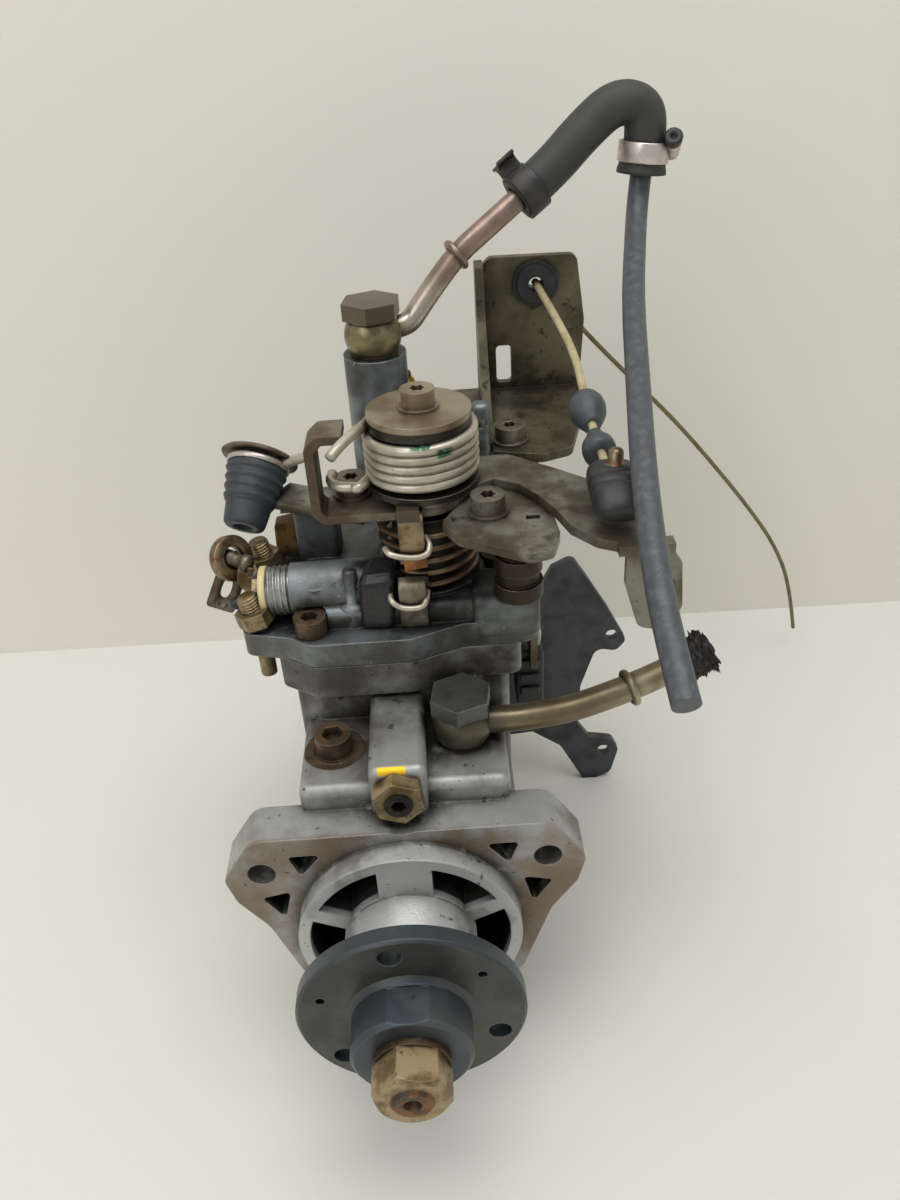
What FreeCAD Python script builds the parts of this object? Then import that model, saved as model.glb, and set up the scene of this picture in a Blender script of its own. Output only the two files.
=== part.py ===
"""Distributor-type diesel injection pump, as a parametric document.

Frame: millimetres, origin on the pump axis at the flange's front (mounting) face. +Y runs to the rear,
away from the drive end, +X to the right seen from the drive end's front, +Z up. The pump axis is the Y axis.
"""

import math
import os

import FreeCAD
import Part
import Sketcher

os.makedirs("parts", exist_ok=True)
doc = FreeCAD.newDocument("injection_pump")
sheet = doc.addObject("Spreadsheet::Sheet", "Sizes")
V = FreeCAD.Vector
FINISHED = {}


# Sizes: a number together with the expression that ties it to the sheet

class Size:
    """A length with its value and the sheet expression that gives it."""

    def __init__(self, value, text):
        self.value = float(value)
        self.text = text

    def __add__(self, other):
        return Size(self.value + num(other), f"({self.text} + {txt(other)})")

    def __radd__(self, other):
        return Size(num(other) + self.value, f"({txt(other)} + {self.text})")

    def __sub__(self, other):
        return Size(self.value - num(other), f"({self.text} - {txt(other)})")

    def __rsub__(self, other):
        return Size(num(other) - self.value, f"({txt(other)} - {self.text})")

    def __mul__(self, other):
        return Size(self.value * num(other), f"({self.text} * {txt(other)})")

    def __rmul__(self, other):
        return Size(num(other) * self.value, f"({txt(other)} * {self.text})")

    def __truediv__(self, other):
        return Size(self.value / num(other), f"({self.text} / {txt(other)})")

    def __neg__(self):
        return Size(-self.value, f"(0 - {self.text})")


def num(item):
    return item.value if isinstance(item, Size) else float(item)


def txt(item):
    return item.text if isinstance(item, Size) else f"({float(item):.6f})"


def polar(radius, degrees):
    """The two components of a radius at an angle in degrees."""
    turn = math.radians(degrees)
    return radius * math.cos(turn), radius * math.sin(turn)


row = 0


def size(alias, value):
    """Write one driving dimension into the sheet and give it back as a Size."""
    global row
    row += 1
    sheet.set(f"A{row}", alias)
    sheet.set(f"B{row}", str(value))
    sheet.setAlias(f"B{row}", alias)
    return Size(value, f"Sizes.{alias}")


# Driving dimensions: mounting flange and spigot
flange_t = size("flange_thickness", 14)
flange_top = size("flange_top_height", 38)
foot_low = size("foot_depth", 60)
spigot_r = size("spigot_radius", 34)
spigot_len = size("spigot_length", 7)
spigot_wall = size("spigot_wall", 3.6)
pcd_r = size("flange_hole_circle_radius", 49)
flange_hole_r = size("flange_hole_radius", 4.2)
ear_angle = 30.0
pocket_deep = size("flange_pocket_depth", 9)

# Driving dimensions: nose, seal and main bearing
nose_front = size("nose_reach", 24)
nose_r = size("nose_radius", 16.5)
seal_r = size("seal_radius", 13)
seal_t = size("seal_thickness", 7)
bush_wall = size("bush_wall", 2.2)
shaft_r = size("shaft_radius", 10)
run_fit = size("running_clearance", 0.05)
gap = size("assembly_gap", 0.3)

# Driving dimensions: housing
barrel_r = size("barrel_radius", 37)
bore_r = size("main_bore_radius", 32)
bore_front = size("bore_start", 14.5)
house_back = size("housing_back", 118)
ledge_top = size("ledge_height", 46)
ledge_front = size("ledge_front", 17)
ledge_left = size("ledge_left", 30)
ledge_right = size("ledge_right", 33)
rim_low = size("rim_height", 57)
seam_z = size("seam_height", 68.5)
wall = size("chamber_wall", 5)
house_left = size("housing_left", 32)
house_right = size("housing_right", 36)
house_front = size("housing_front", 43)

# Driving dimensions: governor axis, timing device
gov_z = size("governor_height", 47.25)
gov_shaft_r = size("governor_shaft_radius", 4)
boss_half = size("governor_boss_half_width", 8.5)
timer_y = size("timer_position", 61.5)
timer_r = size("timer_body_radius", 16)
timer_half = size("timer_half_length", 38)
piston_r = size("timing_piston_radius", 11)
piston_half = size("timing_piston_half_length", 22)
timer_plate_t = size("timing_cover_thickness", 5)
timer_z = -(foot_low - timer_r)

# Driving dimensions: cover
gasket_t = size("gasket_thickness", 0.8)
cover_t = size("cover_flange_thickness", 8.1)
cover_low = seam_z + gasket_t
cover_top = cover_low + cover_t
dome_top = size("dome_height", 84)
cover_back = size("cover_back", 126)
riser_r = size("riser_radius", 10.3)
riser_top = size("riser_height", 140.5)
riser_x = size("riser_offset", 0.5)
riser_y = size("riser_position", 114)
screw_r = size("cap_screw_radius", 3)
screw_head_r = size("cap_screw_head_radius", 5)
screw_head = size("cap_screw_head_height", 6)

# Driving dimensions: drive hub
hub_r = size("hub_radius", 32.74)
hub_t = size("hub_rim_thickness", 6)
hub_front = size("hub_front", 33.45)
hub_boss_r = size("hub_boss_radius", 17)
hub_boss_front = size("hub_boss_front", 46.7)
hub_hole_circle = size("hub_hole_circle_radius", 26.5)
hub_hole_r = size("hub_hole_radius", 3.35)
washer_t = size("hub_washer_thickness", 2)
nut_t = size("hub_nut_thickness", 10)
nut_af = size("hub_nut_across_flats", 19)
shaft_thread_r = size("shaft_thread_radius", 6)
taper_back_r = size("taper_large_radius", 9.6)
taper_front_r = size("taper_small_radius", 7.6)

# Driving dimensions: feed pump, gears, rollers and cam
pump_len = size("feed_pump_length", 14)
plate_t = size("feed_plate_thickness", 4.5)
rotor_r = size("rotor_radius", 19.6)
ring_bore_r = size("pump_ring_bore_radius", 22)
ring_offset = size("pump_ring_offset", 2)
gear_y = size("gear_front", 46.6)
gear_t = size("gear_thickness", 6)
tooth_module = size("gear_module", 1.5)
DRIVE_TEETH = 38
GOVERNOR_TEETH = 25
roller_r = size("roller_radius", 5)
roller_y = size("roller_position", 63)
roller_circle = size("roller_circle_radius", 22)
lift = size("cam_lift", 2.2)
cam_r = size("cam_plate_radius", 27)
cam_t = size("cam_plate_thickness", 6.7)
plunger_r = size("plunger_radius", 5)
plunger_end = size("plunger_end", 141)

# Driving dimensions: governor
cage_r = size("cage_radius", 15)
cage_len = size("cage_length", 17.5)
weight_half = size("flyweight_half_width", 4.6)
sleeve_r = size("governor_sleeve_radius", 6.4)
collar_r = size("governor_collar_radius", 7.6)
sleeve_tip = size("governor_sleeve_tip", 86)
lever_pivot_z = size("governor_lever_pivot_height", 22)
lever_t = size("governor_lever_thickness", 3)
control_r = size("control_sleeve_radius", 10.5)

# Driving dimensions: head and its fittings
head_r = size("head_radius", 35)
head_back = size("head_back", 152)
outlet_circle = size("outlet_circle_radius", 21)
outlet_r = size("outlet_thread_radius", 6)
outlet_len = size("outlet_length", 25)
solenoid_y = size("solenoid_position", 139)
solenoid_r = size("solenoid_radius", 10.5)
solenoid_top = size("solenoid_top", 70)

# Driving dimensions: throttle shaft, springs and levers
throttle_x = size("throttle_offset", 13.1)
throttle_y = size("throttle_position", 68.4)
throttle_r = size("throttle_shaft_radius", 5)
throttle_boss_r = size("throttle_boss_radius", 11)
throttle_boss_top = size("throttle_boss_height", 107.5)
lower_wire = size("lower_spring_wire", 2)
lower_mean_r = size("lower_spring_radius", 14.6)
upper_wire = size("upper_spring_wire", 3.2)
upper_mean_r = size("upper_spring_radius", 15.6)
idle_z = size("idle_lever_height", 109)
throttle_z = size("throttle_lever_height", 113)
lever_plate = size("lever_plate_thickness", 3)
cap_top = size("cap_height", 139.4)
cap_r = size("cap_radius", 15.4)
stop_t = size("stop_plate_thickness", 2.8)

# Driving dimensions: pipes, brackets
pipe_r = size("pipe_radius", 4.2)
return_pipe_r = size("return_pipe_radius", 3.6)
elbow_r = size("elbow_hose_radius", 6.7)
hose_r = size("return_hose_radius", 3.5)
banjo_r = size("banjo_ball_radius", 9.3)
banjo_af = size("banjo_bolt_across_flats", 17)
banjo_bolt_r = size("banjo_bolt_radius", 5)
inlet_x = size("inlet_offset", 19.7)
inlet_y = size("inlet_position", 31)
valve_x = size("regulating_valve_offset", 19.9)
valve_y = size("regulating_valve_position", 29)
sheet_t = size("bracket_thickness", 3)
bracket_seat = size("rear_bracket_seat", 3.2)
foot_z = size("cable_bracket_height", 107.5)
bracket_screw_len = size("bracket_screw_depth", 6)
stud_r = size("adjuster_stud_radius", 3)
plug_r = size("ridge_plug_radius", 7.2)
boot_r = size("cable_boot_radius", 9.8)
doc.recompute()


# Building blocks

AXES = {"X": V(1, 0, 0), "-X": V(-1, 0, 0), "Y": V(0, 1, 0), "-Y": V(0, -1, 0),
        "Z": V(0, 0, 1), "-Z": V(0, 0, -1)}


def bind(item, prop, amount):
    """Give a property its value and, where the value comes from the sheet, its expression."""
    if isinstance(amount, Size):
        item.setExpression(prop, amount.text)
    else:
        setattr(item, prop, amount)


def locate(item, at, rotation=None):
    """Place an object, with each coordinate tied to the sheet."""
    turn = rotation if rotation else FreeCAD.Rotation()
    item.Placement = FreeCAD.Placement(V(*[num(c) for c in at]), turn)
    for letter, amount in zip("xyz", at):
        if isinstance(amount, Size):
            item.setExpression(f"Placement.Base.{letter}", amount.text)
    return item


def toward(axis):
    direction = AXES[axis] if isinstance(axis, str) else V(*axis)
    return FreeCAD.Rotation(V(0, 0, 1), direction)


def rod(at, axis, radius, length):
    """A round bar that starts at a point and runs along an axis."""
    item = doc.addObject("Part::Cylinder", "Rod")
    bind(item, "Radius", radius)
    bind(item, "Height", length)
    return locate(item, at, toward(axis))


def taper(at, axis, radius_1, radius_2, length):
    item = doc.addObject("Part::Cone", "Taper")
    bind(item, "Radius1", radius_1)
    bind(item, "Radius2", radius_2)
    bind(item, "Height", length)
    return locate(item, at, toward(axis))


def ball(at, radius):
    item = doc.addObject("Part::Sphere", "Ball")
    bind(item, "Radius", radius)
    return locate(item, at)


def ring(at, axis, radius, wire_r):
    item = doc.addObject("Part::Torus", "Ring")
    bind(item, "Radius1", radius)
    bind(item, "Radius2", wire_r)
    return locate(item, at, toward(axis))


def hexagon(at, axis, flats, length, turn=0):
    """A six-sided prism across the given flats."""
    item = doc.addObject("Part::Prism", "Hexagon")
    item.Polygon = 6
    bind(item, "Circumradius", flats / math.sqrt(3))
    bind(item, "Height", length)
    return locate(item, at, toward(axis).multiply(FreeCAD.Rotation(V(0, 0, 1), turn)))


def box(x, y, z, rotation=None):
    """A block between two limits on each axis; a rotation turns it about its low corner."""
    item = doc.addObject("Part::Box", "Block")
    for prop, (low, high) in zip(("Length", "Width", "Height"), (x, y, z)):
        bind(item, prop, high - low)
    return locate(item, (x[0], y[0], z[0]), rotation)


def rounded(base, radius, picks=None):
    """Round the chosen edges of a block, or all of them."""
    item = doc.addObject("Part::Fillet", "Rounded")
    item.Base = base
    base.recompute()
    picks = picks or range(1, len(base.Shape.Edges) + 1)
    item.Edges = [(index, num(radius), num(radius)) for index in picks]
    return item


UPRIGHT = (1, 3, 5, 7)


def fuse(*items):
    item = doc.addObject("Part::MultiFuse", "Joined")
    item.Shapes = list(items)
    return item


def cut(base, *tools):
    item = doc.addObject("Part::Cut", "Cut")
    item.Base = base
    item.Tool = tools[0] if len(tools) == 1 else fuse(*tools)
    return item


def carve(base, *tools):
    """Cut several tools from a casting, one after another."""
    for tool in tools:
        base = cut(base, tool)
    return base


def group(*items):
    """Separate solids kept together in one sub-part."""
    item = doc.addObject("Part::Compound", "Group")
    item.Links = list(items)
    return item


def plane_of(body, role):
    return next(f for f in body.Origin.OriginFeatures if f.Role == role)


def outline(body, points):
    """A closed sketch whose corners are each tied to the sheet."""
    sketch = body.newObject("Sketcher::SketchObject", "Outline")
    sketch.AttachmentSupport = [(plane_of(body, "XY_Plane"), "")]
    sketch.MapMode = "FlatFace"
    count = len(points)
    flat = [V(num(a), num(b), 0) for a, b in points]
    for index in range(count):
        sketch.addGeometry(Part.LineSegment(flat[index], flat[(index + 1) % count]), False)
    for index in range(count):
        sketch.addConstraint(Sketcher.Constraint("Coincident", index, 2, (index + 1) % count, 1))
    for index, (a, b) in enumerate(points):
        for kind, amount, axis_line in (("DistanceX", a, -2), ("DistanceY", b, -1)):
            if num(amount) == 0 and not isinstance(amount, Size):
                sketch.addConstraint(Sketcher.Constraint("PointOnObject", index, 1, axis_line))
                continue
            place = sketch.addConstraint(Sketcher.Constraint(kind, -1, 1, index, 1, num(amount)))
            if isinstance(amount, Size):
                sketch.setExpression(f"Constraints[{place}]", amount.text)
    return sketch


LAY_FLAT = {"XY": FreeCAD.Rotation(), "XZ": FreeCAD.Rotation(V(1, 0, 0), 90),
            "YZ": FreeCAD.Rotation(V(1, 1, 1), 120)}


def plate(plane, points, low, thick, rounds=None):
    """A plate of an outline in a plane; rounds gives corner numbers and their radii."""
    body = doc.addObject("PartDesign::Body", "Plate")
    sketch = outline(body, points)
    pad = body.newObject("PartDesign::Pad", "Pad")
    pad.Profile = sketch
    bind(pad, "Length", thick)
    sketch.Visibility = False
    if rounds:
        sketch.recompute()
        pad.recompute()
        by_radius = {}
        for corner, radius in rounds.items():
            x, y = (num(c) for c in points[corner])
            for index, edge in enumerate(pad.Shape.Edges):
                ends = [v.Point for v in edge.Vertexes]
                if all(math.hypot(p.x - x, p.y - y) < 1e-4 for p in ends):
                    by_radius.setdefault(radius, []).append(f"Edge{index + 1}")
        edges = [name for names in by_radius.values() for name in names]
        same = len(by_radius) == 1
        fillet = body.newObject("PartDesign::Fillet", "Fillet")
        if same:
            fillet.Base = (pad, edges)
            fillet.Radius = num(next(iter(by_radius)))
            body.Tip = fillet
        else:
            body.removeObject(fillet)
            doc.removeObject(fillet.Name)
            body.Tip = pad
            tip = doc.addObject("Part::Fillet", "Rounded")
            tip.Base = body
            picks = []
            for radius, names in by_radius.items():
                picks += [(int(name[4:]), num(radius), num(radius)) for name in names]
            tip.Edges = picks
            body = tip
    at = {"XY": (0, 0, low), "XZ": (0, low + thick, 0), "YZ": (low, 0, 0)}[plane]
    if body.isDerivedFrom("Part::Fillet"):
        locate(body.Base, at, LAY_FLAT[plane])
        return body
    return locate(body, at, LAY_FLAT[plane])


def turned(points, at=(0, 0, 0), axis="Y"):
    """A turned piece from its half profile: pairs of radius and distance along the axis."""
    body = doc.addObject("PartDesign::Body", "Turned")
    sketch = outline(body, points)
    spin = body.newObject("PartDesign::Revolution", "Revolution")
    spin.Profile = sketch
    spin.ReferenceAxis = (sketch, ["V_Axis"])
    spin.Angle = 360
    sketch.Visibility = False
    direction = AXES[axis] if isinstance(axis, str) else V(*axis)
    return locate(body, at, FreeCAD.Rotation(V(0, 1, 0), direction))


def tube(at, axis, outer, inner, length):
    return cut(rod(at, axis, outer, length), rod(at, axis, inner, length))


def moved(item, at, rotation=None):
    """A copy of a finished object in another place."""
    copy = doc.addObject("Part::Compound", "Placed")
    copy.Links = [item]
    return locate(copy, at, rotation)


def around(make, angles):
    """Copies made at several angles about the Y axis."""
    return [make(angle) for angle in angles]


def bend_wire(points):
    """Straight runs joined by tangent arcs, each as large as its two runs allow; gives wire and radii."""
    corners = [V(*p) for p in points]
    edges, radii, start = [], [], corners[0]
    for before, here, after in zip(corners, corners[1:], corners[2:]):
        into = (here - before).normalize()
        out = (after - here).normalize()
        turn = into.getAngle(out)
        run = 0.45 * min(here.distanceToPoint(before), here.distanceToPoint(after))
        radius = run / math.tan(turn / 2)
        first = here - into * run
        last = here + out * run
        centre = first + ((out - into * into.dot(out)).normalize()) * radius
        middle = centre + (here - centre).normalize() * radius
        edges.append(Part.LineSegment(start, first).toShape())
        edges.append(Part.Arc(first, middle, last).toShape())
        radii.append(round(radius, 1))
        start = last
    edges.append(Part.LineSegment(start, corners[-1]).toShape())
    return Part.Wire(edges), radii


def bent_tube(name, points, outer, inner=0):
    """A tube along a route of points; its sizes come from the sheet."""
    wire, radii = bend_wire(points)
    direction = V(*points[1]) - V(*points[0])
    solids = []
    for radius in (outer, inner):
        if num(radius) == 0:
            continue
        rim = Part.Wire([Part.Circle(V(*points[0]), direction, num(radius)).toShape()])
        solids.append(wire.makePipeShell([rim], True, False))
    shape = solids[0] if len(solids) == 1 else solids[0].cut(solids[1])
    section = math.pi * (num(outer) ** 2 - num(inner) ** 2)
    print(name, "radii", radii, "volume ratio", round(shape.Volume / (section * wire.Length), 4))
    item = doc.addObject("Part::Feature", "Route")
    item.Shape = shape
    return item


def coil(at, mean_r, wire_r, pitch, height, axis="Z"):
    """A coil climbing along an axis from a point; its twelve-sided wire has the area of a round one."""
    helix = doc.addObject("Part::Helix", "Helix")
    bind(helix, "Pitch", pitch)
    bind(helix, "Height", height)
    bind(helix, "Radius", mean_r)
    rim = doc.addObject("Part::RegularPolygon", "WireSection")
    rim.Polygon = 12
    bind(rim, "Circumradius", wire_r * math.sqrt(math.pi / 3))
    locate(rim, (mean_r, 0, 0), FreeCAD.Rotation(V(1, 0, 0), 90))
    sweep = doc.addObject("Part::Sweep", "Coil")
    sweep.Sections = [rim]
    sweep.Spine = (helix, [])
    sweep.Solid = True
    sweep.Frenet = True
    return moved(sweep, at, toward(axis))


def finish(label, item):
    """Name a sub-part; its label becomes its file's name."""
    item.Label = label
    FINISHED[label] = item
    return item


# Pump housing: flange, nose, barrel, ledge, governor chamber and timing cylinder in one casting

def flange_outline():
    right = [(44, flange_top), (54, 23), (51.5, 13), (43.5, 1), (35, -25), (13, -foot_low)]
    left = [(-x, z) for x, z in reversed(right)]
    return right + left


def housing_plan():
    """Plan of the governor chamber's outer wall, as a list of x and y."""
    return [(-house_left, house_front + 5), (-24, house_front), (22, house_front), (27, house_front + 6),
            (house_right, house_front + 6), (house_right, house_back), (-house_left, house_back)]


def cavity_plan(turn_x):
    """Plan of the chamber's inside; its front steps back at the right of the governor gear."""
    front = house_front + wall - 2
    left, right, back = -house_left + wall, house_right - wall, house_back - wall
    return [(left, front), (turn_x, front), (turn_x + cavity_step, front + wall), (right, front + wall),
            (right, back), (left, back)]


cavity_step = 4.3
low_turn_x, rim_turn_x = 20.9, 18.1
cover_plan = [(-46, 49), (-31, 45), (-24, 40), (6, 40), (22, 46.5), (46, 46), (46, 66), (38, 74), (38, 112),
              (30, cover_back), (-28, cover_back), (-34, 114), (-34, 96), (-46, 90)]
rim_plan = [(-36, 48.5), (-24, 40.6), (6, 40.6), (22, 46.6), (40, 46.6), (40, house_back), (-36, house_back)]


def pump_housing():
    corners = flange_outline()
    radii = {0: 7, 1: 5, 2: 5, 3: 12, 4: 20, 5: 8, 6: 8, 7: 20, 8: 12, 9: 5, 10: 5, 11: 7}
    flange = plate("XZ", corners, 0, flange_t, radii)
    spigot = rod((0, -spigot_len, 0), "Y", spigot_r, spigot_len + flange_t)
    nose = taper((0, 0, 0), "-Y", nose_r + 4, nose_r, nose_front)
    barrel = rod((0, 0, 0), "Y", barrel_r, house_back)
    ledge = rounded(box((-ledge_left, ledge_right), (flange_t - 3, house_front + 3), (0, ledge_top)), 3)
    ledge_wall = box((-ledge_left + 3, ledge_right - 3), (ledge_front, house_front), (0, ledge_top))
    chamber = plate("XY", housing_plan(), 0, rim_low + 0.5, {0: 3, 1: 6, 2: 3, 3: 3, 4: 3})
    rim = plate("XY", rim_plan, rim_low, seam_z - rim_low, {0: 4, 1: 8, 2: 8, 3: 8, 4: 4})
    boss_top = rounded(box((-boss_half, boss_half), (7, house_front + 6),
                           (flange_top - 8, gov_z + 8.3)), 2.5)
    timer = rod((-timer_half, timer_y, timer_z), "X", timer_r, timer_half * 2)
    saddle = box((-24, 24), (timer_y - 14, timer_y + 14), (timer_z, 0))
    lobes = [rod((x, house_back - 26, z), "Y", 8, 26) for x, z in head_screws_at()]
    solid = fuse(flange, spigot, nose, barrel, ledge, ledge_wall, chamber, rim, boss_top, timer, saddle,
                 box((-timer_half, -timer_half + 3), (timer_y - 16, timer_y + 16),
                     (-foot_low, 32 - foot_low)),
                 box((timer_half - 3, timer_half), (timer_y - 16, timer_y + 16),
                     (-foot_low, 32 - foot_low)), *lobes)

    seat = rod((0, bore_front, 0), "Y", bore_r, house_back - bore_front + 1)
    cavity = plate("XY", cavity_plan(low_turn_x), 0, rim_low)
    rim_cavity = plate("XY", cavity_plan(rim_turn_x), rim_low - 1, seam_z - rim_low + 2)
    bush_hole = rod((0, -nose_front + seal_t, 0), "Y", shaft_r + bush_wall, nose_front + bore_front)
    seal_hole = rod((0, -nose_front - 1, 0), "Y", seal_r, seal_t + 1)
    pocket = cut(rod((0, -spigot_len - 1, 0), "Y", spigot_r - spigot_wall, spigot_len + 1 + pocket_deep),
                 rod((0, -spigot_len - 2, 0), "Y", nose_r + 3.5, spigot_len + 2 + pocket_deep + 1),
                 box((-8, 8), (-20, 20), (0, 40)), *around(spoke, (25, 155, -35, -145, -90)))
    nut_seat = rod((0, -3, gov_z), "Y", 10, 10)
    gov_hole = rod((0, 0, gov_z), "Y", gov_shaft_r, house_front + wall)
    valve_hole = rod((-valve_x, valve_y, ledge_top - 18), "Z", 7, 20)
    valve_seat = rod((-valve_x, valve_y, ledge_top - 1.6), "Z", 9.5, 4)
    inlet_hole = rod((inlet_x, inlet_y, ledge_top - 17), "Z", banjo_bolt_r, 20)
    timer_hole = rod((-timer_half - 5, timer_y, timer_z), "X", piston_r + run_fit, timer_half * 2 + 10)
    pin_slot = box((-9, 9), (timer_y - 5, timer_y + 5), (timer_z + 6, -bore_r + 4))
    holes = [rod((x, -1, z), "Y", flange_hole_r, flange_t + 2) for x, z in flange_holes()]
    recesses = [rod((x, flange_t - 2.5, z), "Y", 8.5, 30) for x, z in flange_holes()[:2]]
    ears = [plate("XZ", tri, -1, pocket_deep + 1, {0: 1, 1: 1, 2: 1}) for tri in ear_pockets()]
    timer_holes = [rod((-timer_half - 1, timer_y + dy, timer_z + dz), "X", screw_r - 0.4, 5)
                   for dy, dz in TIMER_SCREWS]
    timer_holes += [rod((timer_half - 4, timer_y + dy, timer_z + dz), "X", screw_r - 0.4, 5)
                    for dy, dz in TIMER_SCREWS]
    pivot = rod((-house_left - 2, lever_y(), lever_pivot_z), "X", 2.05, house_right + house_left + 4)
    screw_holes = [rod((x, y, seam_z - 11), "Z", screw_r, 13) for x, y in COVER_SCREWS]
    head_holes = [rod((x, house_back - 14, z), "Y", screw_r, 16) for x, z in head_screws_at()]
    return finish("pump_housing", carve(solid, seat, cavity, rim_cavity, bush_hole, seal_hole, pocket,
                                      nut_seat, gov_hole, valve_hole, valve_seat, inlet_hole, timer_hole,
                                      pin_slot, pivot,
                                      *holes, *recesses, *ears, *screw_holes, *head_holes, *timer_holes))


def spoke(angle):
    """A rib of the nose, as a block turned about the pump axis."""
    item = doc.addObject("Part::Box", "Spoke")
    bind(item, "Length", 40)
    bind(item, "Width", 60)
    bind(item, "Height", 5)
    turn = FreeCAD.Rotation(V(0, 1, 0), -angle)
    corner = turn.multVec(V(0, -30, -2.5))
    return locate(item, tuple(corner), turn)


def flange_holes():
    x, z = (pcd_r * c for c in polar(1, ear_angle))
    return [(-x, z), (x, z), (0, -pcd_r)]


def ear_pockets():
    right = [[(24, 31), (31, 22.5), (34, 31)], [(35, 16), (38, 4.5), (44, 14)]]
    left = [[(-x, z) for x, z in tri] for tri in right]
    return right + left


def lever_y():
    return sleeve_tip + gap + lever_t / 2


def spring_ends():
    """Where the governor spring starts at the throttle shaft's crank and ends before its lever."""
    start = (num(throttle_x) - 0.5, num(throttle_y) + 9.6, num(seam_z) - 8.2)
    end = (num(throttle_x) - 0.8, num(lever_y()) - num(lever_t) / 2 - 1, num(seam_z) - 8.5)
    return start, end


def head_screws_at():
    reach = bore_r + 6.5
    return [(reach * c, reach * s) for c, s in (polar(1, a) for a in (45, 135, 225, 315))]


TIMER_SCREWS = ((-12.6, 12.6), (12.6, -10.6))
COVER_SCREWS = [(-24.3, 47.5), (34.6, 78), (34.6, 108), (-31.3, 108)]
pump_housing()


# Bearing, seal and feed pump

def bearing_and_seal():
    bush_len = nose_front - seal_t + bore_front
    finish("shaft_bush", tube((0, -nose_front + seal_t, 0), "Y", shaft_r + bush_wall, shaft_r + run_fit,
                              bush_len))
    back = -nose_front + seal_t
    front = -nose_front
    lip = shaft_r + 0.02
    profile = [(lip, back - 3), (lip, back - 2), (shaft_r + 1.6, back - 0.6), (seal_r - 1, back - 0.6),
               (seal_r - 1, front + 0.8), (lip + 0.6, front + 0.8), (lip + 0.6, front),
               (seal_r, front), (seal_r, back), (lip + 1, back)]
    finish("shaft_seal", turned(profile[::-1]))


def feed_pump():
    low = bore_front
    ring_solid = rod((0, low, 0), "Y", bore_r - gap / 10, pump_len)
    ring_hole = rod((ring_offset, low - 1, 0), "Y", ring_bore_r, pump_len + 2)
    plate_low = low + pump_len
    kidneys = [cut(rod((0, plate_low - 1, 0), "Y", 19, plate_t + 2), rod((0, plate_low - 2, 0), "Y", 15.5,
                                                                     plate_t + 4),
                   box((-40, 40), (plate_low - 3, plate_low + plate_t + 3), (-8 - 40 * s, 8 + 40 - 40 * s)))
               for s in (0, 1)]
    end_plate = cut(rod((0, plate_low, 0), "Y", bore_r - gap / 10, plate_t),
                    rod((0, plate_low - 1, 0), "Y", shaft_r + gap, plate_t + 2), *kidneys)
    finish("vane_pump_ring", group(cut(ring_solid, ring_hole), end_plate))
    rotor = rod((0, low + 0.05, 0), "Y", rotor_r, pump_len - 0.1)
    slots, vanes = [], []
    for angle in (0, 90, 180, 270):
        turn = FreeCAD.Rotation(V(0, 1, 0), angle)
        for half, inner, outer, bag in ((1.25, 12, 30, slots), (1.2, 12.6, rotor_r + 0.15, vanes)):
            item = doc.addObject("Part::Box", "Vane")
            bind(item, "Length", outer - inner)
            bind(item, "Width", pump_len + (4 if bag is slots else -0.2))
            bind(item, "Height", half * 2)
            y = low + (-2 if bag is slots else 0.1)
            corner = turn.multVec(V(num(inner), 0, -half))
            bag.append(locate(item, (corner.x, y, corner.z), turn))
    hole = rod((0, low - 1, 0), "Y", shaft_r, pump_len + 2)
    finish("vane_rotor", group(cut(rotor, hole, *slots), *vanes))


bearing_and_seal()
feed_pump()


# Drive: shaft, hub, washer, nut and drive gear

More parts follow.
